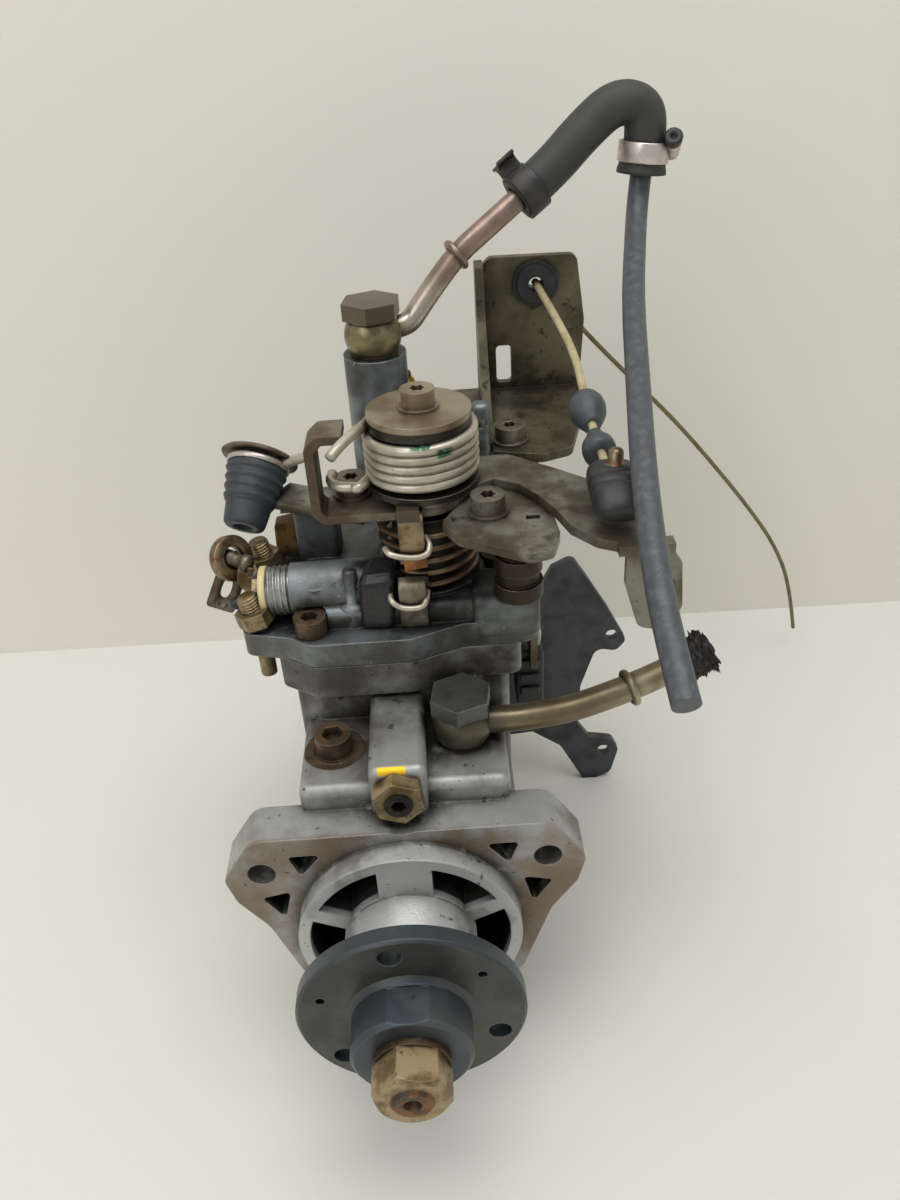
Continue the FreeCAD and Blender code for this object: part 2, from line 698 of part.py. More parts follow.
def drive():
    end = -(hub_boss_front + washer_t + nut_t + 0.8)
    taper_back = -(hub_front - hub_t - 1.5)
    profile = [(0, end), (shaft_thread_r - 0.8, end), (shaft_thread_r, end + 0.8),
               (shaft_thread_r, -hub_boss_front + 2), (taper_front_r, -hub_boss_front + 2.2),
               (taper_back_r, taper_back), (shaft_r, taper_back + 0.4), (shaft_r, gear_y + gear_t),
               (14, gear_y + gear_t), (14, gear_y + gear_t + 2.9), (0, gear_y + gear_t + 2.9)]
    claw_low = gear_y + gear_t + 2
    claws = [cut(rod((0, claw_low, 0), "Y", 13, 9), rod((0, claw_low - 1, 0), "Y", 7, 12),
                 box((-40, 40), (0, 90), (-6 - 40 * s, 6 + 40 - 40 * s)),
                 box((5.5, 40), (0, 90), (-40, 40)), box((-40, -5.5), (0, 90), (-40, 40))) for s in (0, 1)]
    centre = taper((0, end - 0.1, 0), "Y", 2.6, 0.6, 4)
    finish("drive_shaft", cut(fuse(turned(profile[::-1]), *claws), centre))

    back = -(hub_front - hub_t)
    rim = [(hub_boss_r - 5, back + 1.2), (hub_boss_r + 1, back + 1.2), (hub_boss_r + 3, back),
           (hub_r - 0.8, back), (hub_r, back - 0.8), (hub_r, -hub_front + 0.8), (hub_r - 0.8, -hub_front),
           (hub_boss_r + 1.5, -hub_front), (hub_boss_r, -hub_front - 1.5),
           (hub_boss_r, -hub_boss_front + 1.2), (hub_boss_r - 1.2, -hub_boss_front),
           (taper_front_r, -hub_boss_front), (taper_front_r, -hub_boss_front + 2),
           (taper_back_r, taper_back), (taper_back_r, back + 1.2)]
    body = turned(rim)
    threads = [rod((x, -hub_front - 1, z), "Y", hub_hole_r, hub_t + 2)
               for x, z in (tuple(hub_hole_circle * c for c in polar(1, a)) for a in HUB_ANGLES)]
    small = [rod((x, -hub_front - 0.1, z), "Y", 1.3, 2.1)
             for x, z in (tuple(hub_hole_circle * c for c in polar(1, a + 60)) for a in HUB_ANGLES)]
    flat = box((-9, 9), (-hub_boss_front - 1, -hub_front - 2), (hub_boss_r - 1, hub_boss_r + 4),)
    finish("drive_hub", cut(body, flat, *threads, *small))
    front = -hub_boss_front - washer_t
    finish("hub_washer", tube((0, front, 0), "Y", 10.6, shaft_thread_r + 0.05, washer_t))
    blank = hexagon((0, front - nut_t, 0), "Y", nut_af, nut_t, 12)
    chamfer = turned([(0, front - nut_t), (9.2, front - nut_t), (11.4, front - nut_t + 1.8),
                      (11.4, front), (0, front)])
    common = doc.addObject("Part::MultiCommon", "Chamfered")
    common.Shapes = [blank, chamfer]
    finish("hub_nut", cut(common, rod((0, front - nut_t - 1, 0), "Y", shaft_thread_r, nut_t + 2)))


def gear(label, teeth, y, z, bore, first, extra=()):
    """A spur gear: one tooth, repeated round a root disc."""
    pitch = tooth_module * teeth / 2
    root = pitch - tooth_module * 1.25
    tip = pitch + tooth_module * 0.9
    body = doc.addObject("PartDesign::Body", "Gear")
    disc = body.newObject("Sketcher::SketchObject", "RootCircle")
    disc.AttachmentSupport = [(plane_of(body, "XY_Plane"), "")]
    disc.MapMode = "FlatFace"
    disc.addGeometry(Part.Circle(V(0, 0, 0), V(0, 0, 1), num(root)), False)
    disc.addConstraint(Sketcher.Constraint("Coincident", 0, 3, -1, 1))
    place = disc.addConstraint(Sketcher.Constraint("Radius", 0, num(root)))
    disc.setExpression(f"Constraints[{place}]", root.text)
    pad = body.newObject("PartDesign::Pad", "RootDisc")
    pad.Profile = disc
    bind(pad, "Length", gear_t)
    half = tooth_module * math.pi / 2
    tooth = outline(body, [(root - 0.5, -half * 0.62), (pitch, -half * 0.44), (tip, -half * 0.2),
                           (tip, half * 0.2), (pitch, half * 0.44), (root - 0.5, half * 0.62)])
    tooth_pad = body.newObject("PartDesign::Pad", "Tooth")
    tooth_pad.Profile = tooth
    bind(tooth_pad, "Length", gear_t)
    pattern = body.newObject("PartDesign::PolarPattern", "Teeth")
    pattern.Originals = [tooth_pad]
    pattern.Axis = (disc, ["N_Axis"])
    pattern.Angle = 360
    pattern.Occurrences = teeth
    body.Tip = pattern
    lay = FreeCAD.Rotation(V(1, 0, 0), 90).multiply(FreeCAD.Rotation(V(0, 0, 1), first))
    locate(body, (0, y + gear_t, z), lay)
    return finish(label, cut(fuse(body, *extra) if extra else body,
                             rod((0, y - 30, z), "Y", bore, 100)))


HUB_ANGLES = (99, -21, -141)
drive()
gear("drive_gear", DRIVE_TEETH, gear_y, 0, shaft_r, 90)


# Rollers, cam plate, plunger and timing device

def timing():
    low = roller_y - 6
    high = roller_y + 2.6
    body = tube((0, low, 0), "Y", bore_r - 0.1, 15, high - low)
    seats, rollers = [], []
    for angle in (0, 90, 180, 270):
        c, s = polar(1, angle)
        inner = roller_circle - 5.2
        seats.append(rod((inner * c, roller_y, inner * s), (c, 0, s), roller_r + gap, 10.4))
        start = roller_circle - 5
        rollers.append(rod((start * c, roller_y, start * s), (c, 0, s), roller_r, 10))
    pin = rod((0, timer_y, timer_z - 3), "Z", 3.5, -timer_z + 3 - bore_r + 3)
    pins = [rod(((roller_circle - 6.6) * c, roller_y, (roller_circle - 6.6) * s), (c, 0, s), 1.8,
                bore_r - 0.6 - roller_circle + 6.6) for c, s in (polar(1, a) for a in (0, 90, 180, 270))]
    bored = [cut(r, rod((0, roller_y, 0), (c, 0, s), 1.85, 40))
             for r, (c, s) in zip(rollers, (polar(1, a) for a in (0, 90, 180, 270)))]
    finish("roller_ring", group(fuse(cut(body, *seats), pin, *pins), *bored))

    face = roller_y + roller_r + lift + 0.1
    disc = rod((0, face, 0), "Y", cam_r, cam_t)
    lobes = []
    hump = 14
    for angle in (45, 135, 225, 315):
        c, s = polar(1, angle)
        start = roller_circle - 5
        lobes.append(rod((start * c, face + hump - lift, start * s), (c, 0, s), hump,
                         cam_r - roller_circle + 5))
    slab = box((-40, 40), (face - 10, face + cam_t), (-40, 40))
    trimmed = doc.addObject("Part::MultiCommon", "Lobes")
    trimmed.Shapes = [fuse(*lobes), slab]
    claws = [cut(rod((0, face - 11.5, 0), "Y", 13, 12.5), rod((0, face - 13, 0), "Y", 7, 16),
                 box((-6 - 40 * s, 6 + 40 - 40 * s), (0, 90), (-40, 40)),
                 box((-40, 40), (0, 90), (5.5, 40)), box((-40, 40), (0, 90), (-40, -5.5))) for s in (0, 1)]
    finish("cam_plate", cut(fuse(disc, trimmed, *claws), rod((0, face - 20, 0), "Y", 4, 40)))

    back = face + cam_t
    finish("plunger", cut(turned([(0, back), (9, back), (9, back + 3.2), (plunger_r, back + 3.2),
                                  (plunger_r, plunger_end), (0, plunger_end)][::-1]),
                          rod((0, plunger_end - 30, 0), "Y", 1.5, 31)))
    top = back + 3.5
    bridge = cut(box((-26, 26), (top, top + 2.2), (-5.5, 5.5)), rod((0, top - 1, 0), "Y", plunger_r + 0.4, 5))
    span = house_back - 8 - (top + 2.2)
    springs = [coil((side * 20, top + 2.2 + 0.9, 0), 4.4, 0.9, span / 6, span - 1.8, "Y") for side in (-1, 1)]
    timer_coil = coil((piston_half - 5 + 0.9, timer_y, timer_z), 6.6, 0.9, 3.2,
                      timer_half - piston_half + 5 - 1.8, "X")
    finish("internal_springs", group(bridge, *springs, timer_coil))

    piston = rod((-piston_half, timer_y, timer_z), "X", piston_r, piston_half * 2)
    spring_well = rod((piston_half - 5, timer_y, timer_z), "X", 8.4, 6)
    slot = rod((0, timer_y, timer_z - 4), "Z", 4.3, 40)
    slot_mouth = rod((0, timer_y, timer_z + 1), "Z", 6.4, 40)
    finish("timing_piston", cut(piston, spring_well, slot, slot_mouth))

    covers = []
    for side in (-1, 1):
        x0 = side * timer_half if side > 0 else -timer_half - timer_plate_t
        covers.append(rounded(box((x0, x0 + timer_plate_t), (timer_y - 16, timer_y + 16),
                                  (-foot_low, 32 - foot_low)), 1.2))
    finish("timing_covers", group(*[cut(c, *[rod((-80, timer_y + dy, timer_z + dz), "X", screw_r - 0.4, 160)
                                             for dy, dz in TIMER_SCREWS]) for c in covers]))


timing()


# Governor: shaft, nut, cage with its gear, flyweights, sleeve, lever and control sleeve

def governor():
    shaft = rod((0, 1, gov_z), "Y", gov_shaft_r, sleeve_tip - 8)
    socket = hexagon((0, 0, gov_z), "Y", 4, 5, 12)
    finish("governor_shaft", cut(shaft, socket))
    nut = hexagon((0, 2, gov_z), "Y", 13.5, 5, 20)
    finish("governor_shaft_nut", cut(nut, rod((0, 1, gov_z), "Y", gov_shaft_r, 8)))

    back = gear_y + gear_t
    block = rod((0, back, gov_z), "Y", cage_r, cage_len)
    slots = [box((-40, 40), (back + 2.6, back + 40), (gov_z - weight_half - 0.3, gov_z + weight_half + 0.3)),
             box((-weight_half - 0.3, weight_half + 0.3), (back + 2.6, back + 40), (gov_z - 40, gov_z + 40))]
    cage = cut(block, *slots, rod((0, back + 2.6, gov_z), "Y", collar_r + gap, 40))
    tube_hub = rod((0, back, gov_z), "Y", 5.2, 4.4)
    gear("governor_cage", GOVERNOR_TEETH, gear_y, gov_z, gov_shaft_r + run_fit,
         270 + 180 / GOVERNOR_TEETH, (cage, tube_hub))

    pivot_y = back + 5.4
    arms = (("flyweight_1", 0), ("flyweight_2", 90), ("flyweight_3", 180), ("flyweight_4", 270))
    for label, angle in arms:
        profile = [(7.4, pivot_y - 1.6), (13.2, pivot_y - 1.6), (13.2, back + 16.5), (8.2, back + 16.5),
                   (8.2, pivot_y + 2.2), (5.0, pivot_y + 2.2), (5.0, pivot_y + 0.2)]
        shape = plate("XY", profile, -weight_half, weight_half * 2)
        turn = FreeCAD.Rotation(V(0, 1, 0), -angle)
        finish(label, moved(shape, (0, 0, gov_z), turn))

    collar = pivot_y + 2.35
    profile = [(gov_shaft_r + run_fit, collar), (collar_r, collar), (collar_r, collar + 2),
               (sleeve_r, collar + 2), (sleeve_r, sleeve_tip - 2), (sleeve_r - 2, sleeve_tip), (0, sleeve_tip),
               (0, sleeve_tip - 2.5), (gov_shaft_r + run_fit, sleeve_tip - 2.5)]
    finish("governor_sleeve", turned(profile[::-1], (0, 0, gov_z)))

    front = sleeve_tip + gap
    blade = plate("XZ", [(-6, 12), (6, 12), (9, 22), (7, 40), (7, 53), (17.5, 55), (17.5, 65), (5, 65),
                         (-7, 60), (-7, 40), (-9, 22)],
                  front, lever_t, {0: 2, 1: 2, 5: 2, 6: 3, 7: 3})
    pin = rod((-house_left + 1, lever_y(), lever_pivot_z), "X", 2, house_left + house_right - 2)
    finger = rod((0, lever_y(), control_r - 2), "Z", 1.4, 6)
    eye = rod((-9, lever_y(), lever_pivot_z), "X", 4, 18)
    finish("governor_lever", fuse(blade, pin, finger, eye))
    low = lever_y() - 4
    ring_body = tube((0, low, 0), "Y", control_r, plunger_r + run_fit, 9)
    pocket = rod((0, lever_y(), control_r - 3), "Z", 1.7, 10)
    finish("control_sleeve", cut(ring_body, pocket))


governor()


# Distributor head with its valve holders, plug and solenoid

def head():
    body = rod((0, house_back, 0), "Y", head_r, head_back - house_back)
    nose = rod((0, house_back - 8, 0), "Y", bore_r - 0.1, 9)
    barrel = rod((0, house_back - 16, 0), "Y", 11, 20)
    tower = rod((0, solenoid_y, 0), "Z", solenoid_r + 2, head_r + 3)
    lobes = [rod((x, house_back + (bracket_seat if num(x) > 0 else 0), z), "Y", 8,
                 12 - (bracket_seat if num(x) > 0 else 0)) for x, z in head_screws_at()]
    solid = fuse(body, nose, barrel, tower, *lobes)
    plunger_hole = rod((0, 0, 0), "Y", plunger_r + run_fit, plunger_end + 4)
    outlets = [rod((x, head_back - 14, z), "Y", outlet_r + 1, 15) for x, z in outlets_at()]
    screw_holes = [rod((x, house_back - 12, z), "Y", screw_r, 60) for x, z in head_screws_at()]
    sinks = [rod((x, house_back + 12, z), "Y", screw_head_r + 1.2, 60) for x, z in head_screws_at()]
    coil_hole = rod((0, solenoid_y, plunger_r + 8), "Z", 7, 60)
    feed = rod((0, solenoid_y, 0), "Z", 1.5, 30)
    centre = rod((0, head_back - 8, 0), "Y", 8, 9)
    finish("distributor_head", cut(solid, plunger_hole, coil_hole, feed, centre, *outlets, *screw_holes,
                                   *sinks))

    holders = []
    for x, z in outlets_at():
        low = head_back
        base = rod((x, low - 13.5, z), "Y", outlet_r + 1, 13.5)
        nut = hexagon((x, low, z), "Y", 16, 9)
        stem = rod((x, low + 9, z), "Y", outlet_r, outlet_len - 10)
        nip = taper((x, low + outlet_len - 1, z), "Y", outlet_r, outlet_r - 1, 1)
        hole = rod((x, low - 14, z), "Y", 1.5, outlet_len + 20)
        cone = taper((x, low + outlet_len - 4, z), "Y", 1.5, 3.8, 4.01)
        holders.append(cut(fuse(base, nut, stem, nip), hole, cone))
    plug = fuse(rod((0, head_back - 7.9, 0), "Y", 8, 8), hexagon((0, head_back, 0), "Y", 20, 6),
                hexagon((0, head_back + 6, 0), "Y", 10, 5))
    finish("outlet_fittings", group(*holders, plug))

    seat = head_r + 3
    coil_body = fuse(rod((0, solenoid_y, plunger_r + 8.2), "Z", 7, seat),
                     rod((0, solenoid_y, seat), "Z", solenoid_r, 8),
                     hexagon((0, solenoid_y, seat + 4), "Z", 22, 7),
                     rod((0, solenoid_y, seat + 10), "Z", solenoid_r - 1.5, solenoid_top - seat - 12),
                     rod((0, solenoid_y, solenoid_top - 3), "Z", 3, 6))
    finish("fuel_solenoid", coil_body)


def outlets_at():
    return [(outlet_circle * c, outlet_circle * s) for c, s in (polar(1, a) for a in (45, 135, 225, 315))]


head()


# Governor cover with its gasket

def toward_point(at, line, distance):
    """The point this far along a line from another point."""
    return tuple(a + d * distance for a, d in zip(at, line))


def raised(x, y, radius, top, low=None):
    start = cover_top - 2 if low is None else low
    return rod((x, y, start), "Z", radius, top - start)


def cover():
    radii = {0: 4, 1: 4, 2: 7, 3: 7, 4: 5, 5: 6, 6: 5, 7: 6, 9: 6, 10: 6, 13: 5}
    flange = plate("XY", cover_plan, cover_low, cover_t, radii)
    dome = rounded(box((-29, 31), (48, 123), (cover_top - 4, dome_top)), 3)
    ridge = rod((-30, 59, 86), "X", 8.4, 30)
    ridge_end = ball((0, 59, 86), 8.4)
    right_boss = rounded(box((25, 46), (46, 66), (cover_low + 1, 86)), 3)
    riser = raised(-riser_x, riser_y, riser_r, riser_top)
    riser_foot = taper((-riser_x, riser_y, dome_top - 2), "Z", riser_r + 4, riser_r - 0.5, 9)
    boss = raised(throttle_x, throttle_y, throttle_boss_r, throttle_boss_top)
    boss_foot = raised(throttle_x, throttle_y, throttle_boss_r + 5, dome_top + 1.4)
    lug = rounded(box((29.5, 35.5), (96, 102), (cover_top - 4, 127)), 2)
    bracket_posts = [raised(x, y, 6.5, foot_z) for x, y in BRACKET_SCREWS]
    left_boss = rounded(box((-46, -29), (60, 92), (cover_low + 1, 82)), 3)
    pin_boss = raised(-22, 55, 4, 90)
    tab = box((5.5, 12.5), (50.2, 52.4), (dome_top - 3, 92.5))
    arm_post = rounded(box((-30, -16), (80, 92), (cover_top - 3, 104)), 2)
    arm = box((-34, -16), (80, 92), (101.5, 104))
    solid = fuse(flange, dome, ridge, ridge_end, right_boss, riser, riser_foot, boss, boss_foot, lug,
                 left_boss, pin_boss, tab, arm_post, arm, *bracket_posts)
    room = box((-house_left + wall, house_right - wall), (house_front + wall, house_back - wall),
               (cover_low - 1, cover_top - 0.2))
    bore = rod((throttle_x, throttle_y, cover_low - 5), "Z", throttle_r + run_fit, 60)
    riser_hole = rod((-riser_x, riser_y, cover_low - 2), "Z", banjo_bolt_r, riser_top - cover_low + 4)
    plug_hole = rod((-31, 59, 86), "X", 6, 9)
    holes = [rod((x, y, cover_low - 1), "Z", screw_r + 0.3, 60) for x, y in COVER_SCREWS]
    sinks = [rod((x, y, cover_top), "Z", screw_head_r + 1.3, 24) for x, y in COVER_SCREWS[1:]]
    sinks += [rod((x, y, cover_top), "Z", screw_head_r + gap, screw_head + 1) for x, y in COVER_SCREWS[:1]]
    holes += [rod((x, y, foot_z - bracket_screw_len), "Z", screw_r, bracket_screw_len + 1)
              for x, y in BRACKET_SCREWS]
    holes += [rod(toward_point(at, LEAN, -2), LEAN, stud_r, 4) for at in STUDS]
    plug_room = rod((-50, 59, 86), "X", plug_r + gap, 20)
    boot_room = rod(BOOT_BACK, BOOT_LINE, boot_r + gap, 40)
    well = tube((throttle_x, throttle_y, dome_top + 1.4), "Z", lower_mean_r + lower_wire / 2 + 0.4,
                lower_mean_r - lower_wire / 2 - 0.4, 30)
    lug_hole = rod((32.5, 90, 121), "Y", 1.9, 20)
    finish("governor_cover", carve(solid, room, bore, riser_hole, plug_hole, plug_room, boot_room, well,
                                   lug_hole, *holes, *sinks))
    sheet_plan = plate("XY", rim_plan, seam_z, gasket_t, {0: 4, 1: 8, 2: 8, 3: 8, 4: 4})
    hole = box((-house_left + wall, house_right - wall), (house_front + wall, house_back - wall),
               (seam_z - 1, cover_low + 1))
    finish("cover_gasket", cut(sheet_plan, hole, *[rod((x, y, seam_z - 1), "Z", screw_r + 0.3, 4)
                                                   for x, y in COVER_SCREWS]))


BRACKET_SCREWS = [(42.2, 104), (20, 122)]
LEAN = (-0.196, 0, 0.981)
STUDS = ((-41, 52.5, 77.6), (-40, 78, 82.2))
BOOT_BACK = (-40, 91, 114)
BOOT_LINE = (-0.239, -0.717, -0.657)
cover()


# Fasteners

def socket_screw(at, axis, length):
    """Socket head cap screw: its head starts at the point, its shank runs back along the axis."""
    direction = AXES[axis]
    shank_at = tuple(a - d * length for a, d in zip(at, direction))
    top = tuple(a + d * (num(screw_head) - 3) for a, d in zip(at, direction))
    return cut(fuse(rod(at, axis, screw_head_r, screw_head), rod(shank_at, axis, screw_r, length)),
               hexagon(top, axis, 5, 4, 15))


def torx_screw(at, length):
    """Pan head screw with a star socket and washer, standing on a horizontal face."""
    x, y, z = at
    points = [polar(2.5 if i % 2 == 0 else 1.8, 30 * i) for i in range(12)]
    star = plate("XY", [(x + a, y + b) for a, b in points], z + 3.4, 5)
    head_part = fuse(rod((x, y, z + 1), "Z", screw_head_r, 5), rod((x, y, z), "Z", screw_head_r + 1, 1),
                     rod((x, y, z - length), "Z", screw_r, length))
    return cut(head_part, star)


def fasteners():
    screws = [socket_screw((x, y, cover_top), "Z", 16) for x, y in COVER_SCREWS]
    screws += [socket_screw((x, house_back + 12, z), "Y", 24) for x, z in head_screws_at()]
    timer_heads = []
    for side in (-1, 1):
        for dy, dz in TIMER_SCREWS:
            x0 = side * (timer_half + timer_plate_t)
            at = (x0, timer_y + dy, timer_z + dz)
            outward = "X" if side > 0 else "-X"
            shank_at = (side * (timer_half - 2.5), at[1], at[2])
            timer_heads.append(fuse(hexagon(at, outward, 8, 3.4),
                                    rod(shank_at, outward, screw_r - 0.4, timer_plate_t + 3)))
    torx = [torx_screw((x, y, foot_z + sheet_t), sheet_t + bracket_screw_len) for x, y in BRACKET_SCREWS]
    finish("torx_screws", group(*torx))
    finish("cap_screws", group(*screws, *timer_heads))

    bolts = []
    for x, y, seat in ((inlet_x, inlet_y, ledge_top), (-riser_x, riser_y, riser_top)):
        top = seat + 2 * 5.9
        blank = fuse(hexagon((x, y, top), "Z", banjo_af, 5.4, 22),
                     rod((x, y, seat - 14), "Z", banjo_bolt_r, 14 + 2 * 5.9), rod((x, y, top), "Z", 8.2, 0.6))
        bolts.append(blank)
    finish("banjo_bolts", group(*bolts))


fasteners()


# Throttle shaft, springs, cap and levers

def throttle():
    top = cap_top - 2
    low = seam_z - 1.5
    shaft = rod((throttle_x, throttle_y, low), "Z", throttle_r, top - low)
    crank = box((throttle_x - 4, throttle_x + 4), (throttle_y - 4, throttle_y + 9.5), (low - 2.2, low))
    crank_pin = rod((throttle_x, throttle_y + 7, low - 7), "Z", 1.6, 7)
    finish("throttle_shaft", fuse(shaft, crank, crank_pin))

    ring_low = throttle_z + lever_plate
    spool = turned([(throttle_r, ring_low), (16.8, ring_low), (16.8, ring_low + 2), (13.2, ring_low + 2.6),
                    (13.2, top - 2.8), (15.2, top - 2.8), (15.2, top), (throttle_r, top)],
                   (throttle_x, throttle_y, 0), "Z")
    disc = cut(rod((throttle_x, throttle_y, top), "Z", cap_r, 2),
               rod((throttle_x, throttle_y, top - 1), "Z", 3.2, 4))
    finish("spring_cap", group(spool, disc, torx_screw((throttle_x, throttle_y, cap_top), 2)))

    plan = [(26, 61.5), (34, 66), (41, 62), (46, 54), (50, 45), (53, 35), (59, 27), (68, 22), (78, 29),
            (77, 42), (66, 58), (53, 70.5), (39.5, 82.5), (28, 82), (20, 79)]
    arm = plate("XY", plan, throttle_z, lever_plate, {2: 4, 7: 4, 8: 4, 9: 4, 11: 5, 12: 5})
    eye = rod((throttle_x, throttle_y, throttle_z), "Z", 13, lever_plate)
    flap = plate("XZ", [(66, throttle_z + lever_plate), (66, 104), (70, 90), (78, 88), (82, 96), (81, 110),
                        (77, throttle_z + lever_plate)], 21.5, 2.4, {2: 3, 3: 3, 4: 3, 5: 2})
    flap_hole = rod((77, 15, 103.5), "Y", 2.4, 14)
    neck = box((64, 79), (21.6, 26), (throttle_z, throttle_z + lever_plate))
    tab = fuse(box((4.8, 11.4), (50, 56.6), (throttle_z, throttle_z + lever_plate)),
               box((4.8, 11.4), (49, 51.2), (98.5, throttle_z + lever_plate)))
    inner = box((4.8, 11.4), (50, 62), (throttle_z, throttle_z + lever_plate))
    bore = rod((throttle_x, throttle_y, throttle_z - 1), "Z", throttle_r, 6)
    finish("throttle_lever", cut(fuse(arm, eye, flap, neck, tab, inner), bore, flap_hole))

    stud = fuse(rod((66, 36, ring_low), "Z", 4, 3), rod((66, 36, ring_low), "Z", 2.4, 5),
                ball((66, 36, ring_low + 7.5), 4))
    shell = rounded(box((58.5, 73.5), (28.5, 50), (ring_low + 3, ring_low + 13.4)), 2.5)
    finish("ball_socket", group(fuse(shell, stud)))

    lower_low = dome_top + 3
    height = throttle_z - 7 - lower_low
    finish("lower_spring", coil((throttle_x, throttle_y, lower_low), lower_mean_r, lower_wire / 2,
                                height / 4.5, height))
    upper_low = ring_low + 2.6 + upper_wire / 2 + 0.1
    upper_high = top - 2.8 - upper_wire / 2 - 0.1
    span = upper_high - upper_low
    finish("upper_spring", coil((throttle_x, throttle_y, upper_low), upper_mean_r, upper_wire / 2,
                                span / 4.4, span))

    outer = [(2, idle_z), (2, idle_z + 2.6), (-16, idle_z + 2.6), (-17.5, idle_z + 4), (-17.5, 132),
             (-15, 134.4), (-9, 134.4), (-9, 137), (-16.5, 137), (-20.3, 133.5), (-20.3, idle_z + 3),
             (-17, idle_z)]
    hook = plate("XZ", outer, 57, 12, {3: 1, 8: 3, 9: 3, 10: 3, 11: 3})
    foot = plate("XY", [(-17, 57), (4, 57), (throttle_x - 6, 57.5), (throttle_x, 60), (throttle_x, 77),
                        (4, 78), (-10, 75), (-17, 69)], idle_z, 2.6)
    hub = rod((throttle_x, throttle_y, idle_z), "Z", 10.5, 2.6)
    hole = rod((throttle_x, throttle_y, idle_z - 1), "Z", throttle_r + run_fit, 5)
    screw_hole = rod((-9, 71, idle_z - 1), "Z", screw_r + 0.1, 5)
    lever_body = cut(fuse(hook, foot, hub), hole, screw_hole)
    finish("idle_lever", group(lever_body, torx_screw((-9, 71, idle_z + 2.6), 2.6)))


throttle()


# Plate and bushes on the right boss, adjusters and cable parts on the left

def right_and_left():
    low = throttle_z - stop_t
    plan = [(17.5, 46.5), (22, 37.5), (40.7, 25.8), (47.5, 27.5), (50.3, 36.5), (49.5, 52), (42, 66),
            (31, 69), (25, 61)]
    body = plate("XY", plan, low, stop_t, {0: 3, 2: 3, 3: 3, 4: 3, 6: 4, 7: 3})
    slot = box((20.5, 26.5), (46.6, 49.6), (low - 1, low + 6))
    small = box((41.8, 45.8), (45.4, 47.6), (low - 1, low + 6))
    hole = rod((31.3, 51, low - 1), "Z", screw_r + 0.2, 6)
    finish("stop_plate", group(cut(body, slot, small, hole), torx_screw((31.3, 51, throttle_z), 3)))
    steps = ((7.4, 86, 5), (6.2, 91, 4), (7.2, 95, 5), (5.8, 100, low - 0.3 - 100))
    bushes = [tube((39.5, 49, z), "Z", radius, 3, tall) for radius, z, tall in steps]

    studs = [rod(toward_point(at, LEAN, -2), LEAN, stud_r, 12.5) for at in STUDS]
    nuts = [hexagon(toward_point(at, LEAN, 1.4), LEAN, 10, 5, 10) for at in STUDS]
    lower_stud = rod((-41.3, 56, 57), "Z", 2.6, cover_low - 57)
    plug = fuse(rod((-38, 59, 86), "X", plug_r, 8), rod((-31, 59, 86), "X", 6, 8),
                hexagon((-42, 59, 86), "X", 8, 5))
    finish("adjusters", group(*[fuse(s, n) for s, n in zip(studs, nuts)], lower_stud, plug, *bushes))

    boot = turned([(0, 0), (boot_r, 0), (boot_r, 3), (boot_r - 0.8, 4), (boot_r - 0.4, 6),
                   (boot_r - 1.4, 7.4), (boot_r - 1, 9.4), (boot_r - 2, 11), (boot_r - 1.8, 13), (5.2, 19), (4.8, 25.6),
                   (0, 25.6)][::-1], BOOT_BACK, BOOT_LINE)
    finish("cable_boot", boot)
    disc = rod((-38, 93.5, 115.5), (0.1, 0.85, 0.5), 12.5, 2.5)
    eye = cut(ball((-49, 67.9, 93.4), 5.6), rod((-60, 67.9, 93.4), "X", 2, 30))
    slab = cut(rounded(box((-55, -46), (66, 69), (76, 90)), 1), box((-52, -49), (60, 75), (79, 86)))
    finish("cable_clamp", group(fuse(eye, slab), disc))


right_and_left()


# Pipes, hoses and wires

def pipes():
    for label, x, y, seat, route, radius in (
            ("inlet_pipe", inlet_x, inlet_y, ledge_top, INLET_ROUTE, pipe_r),
            ("return_pipe", -riser_x, riser_y, riser_top, RETURN_ROUTE, return_pipe_r)):
        middle = seat + 5.9
        body = ball((x, y, middle), banjo_r)
        trims = [box((x - 20, x + 20), (y - 20, y + 20), (seat - 20, seat + 0.9)),
                 box((x - 20, x + 20), (y - 20, y + 20), (seat + 10.9, seat + 30))]
        bore = rod((x, y, seat - 1), "Z", banjo_bolt_r + gap, 20)
        start = V(num(x), num(y), num(middle))
        direction = (V(*route[0]) - start).normalize()
        points = [tuple(start + direction * 7)] + route
        outside = bent_tube(label, points, radius)
        inside = bent_tube(label + " bore", points, radius - 1)
        along = (V(*route[-1]) - V(*route[-2])).normalize()
        bead = ring(route[-2], tuple(along), radius + 0.6, 1.2)
        washers = [tube((x, y, seat), "Z", 7.6, banjo_bolt_r + gap, 0.9),
                   tube((x, y, seat + 10.9), "Z", 7.6, banjo_bolt_r + gap, 0.9)]
        finish(label, fuse(carve(fuse(carve(body, *trims), outside, bead), inside, bore), *washers))


INLET_ROUTE = [(37.5, 31, 51.8), (54, 32, 53.2), (72, 35.5, 57), (86.4, 39.46, 60.6)]
RETURN_ROUTE = [(11.5, 117.4, 148.2), (18.5, 120.8, 156.6), (28, 124.5, 167), (54.2, 133.5, 184.9)]
pipes()


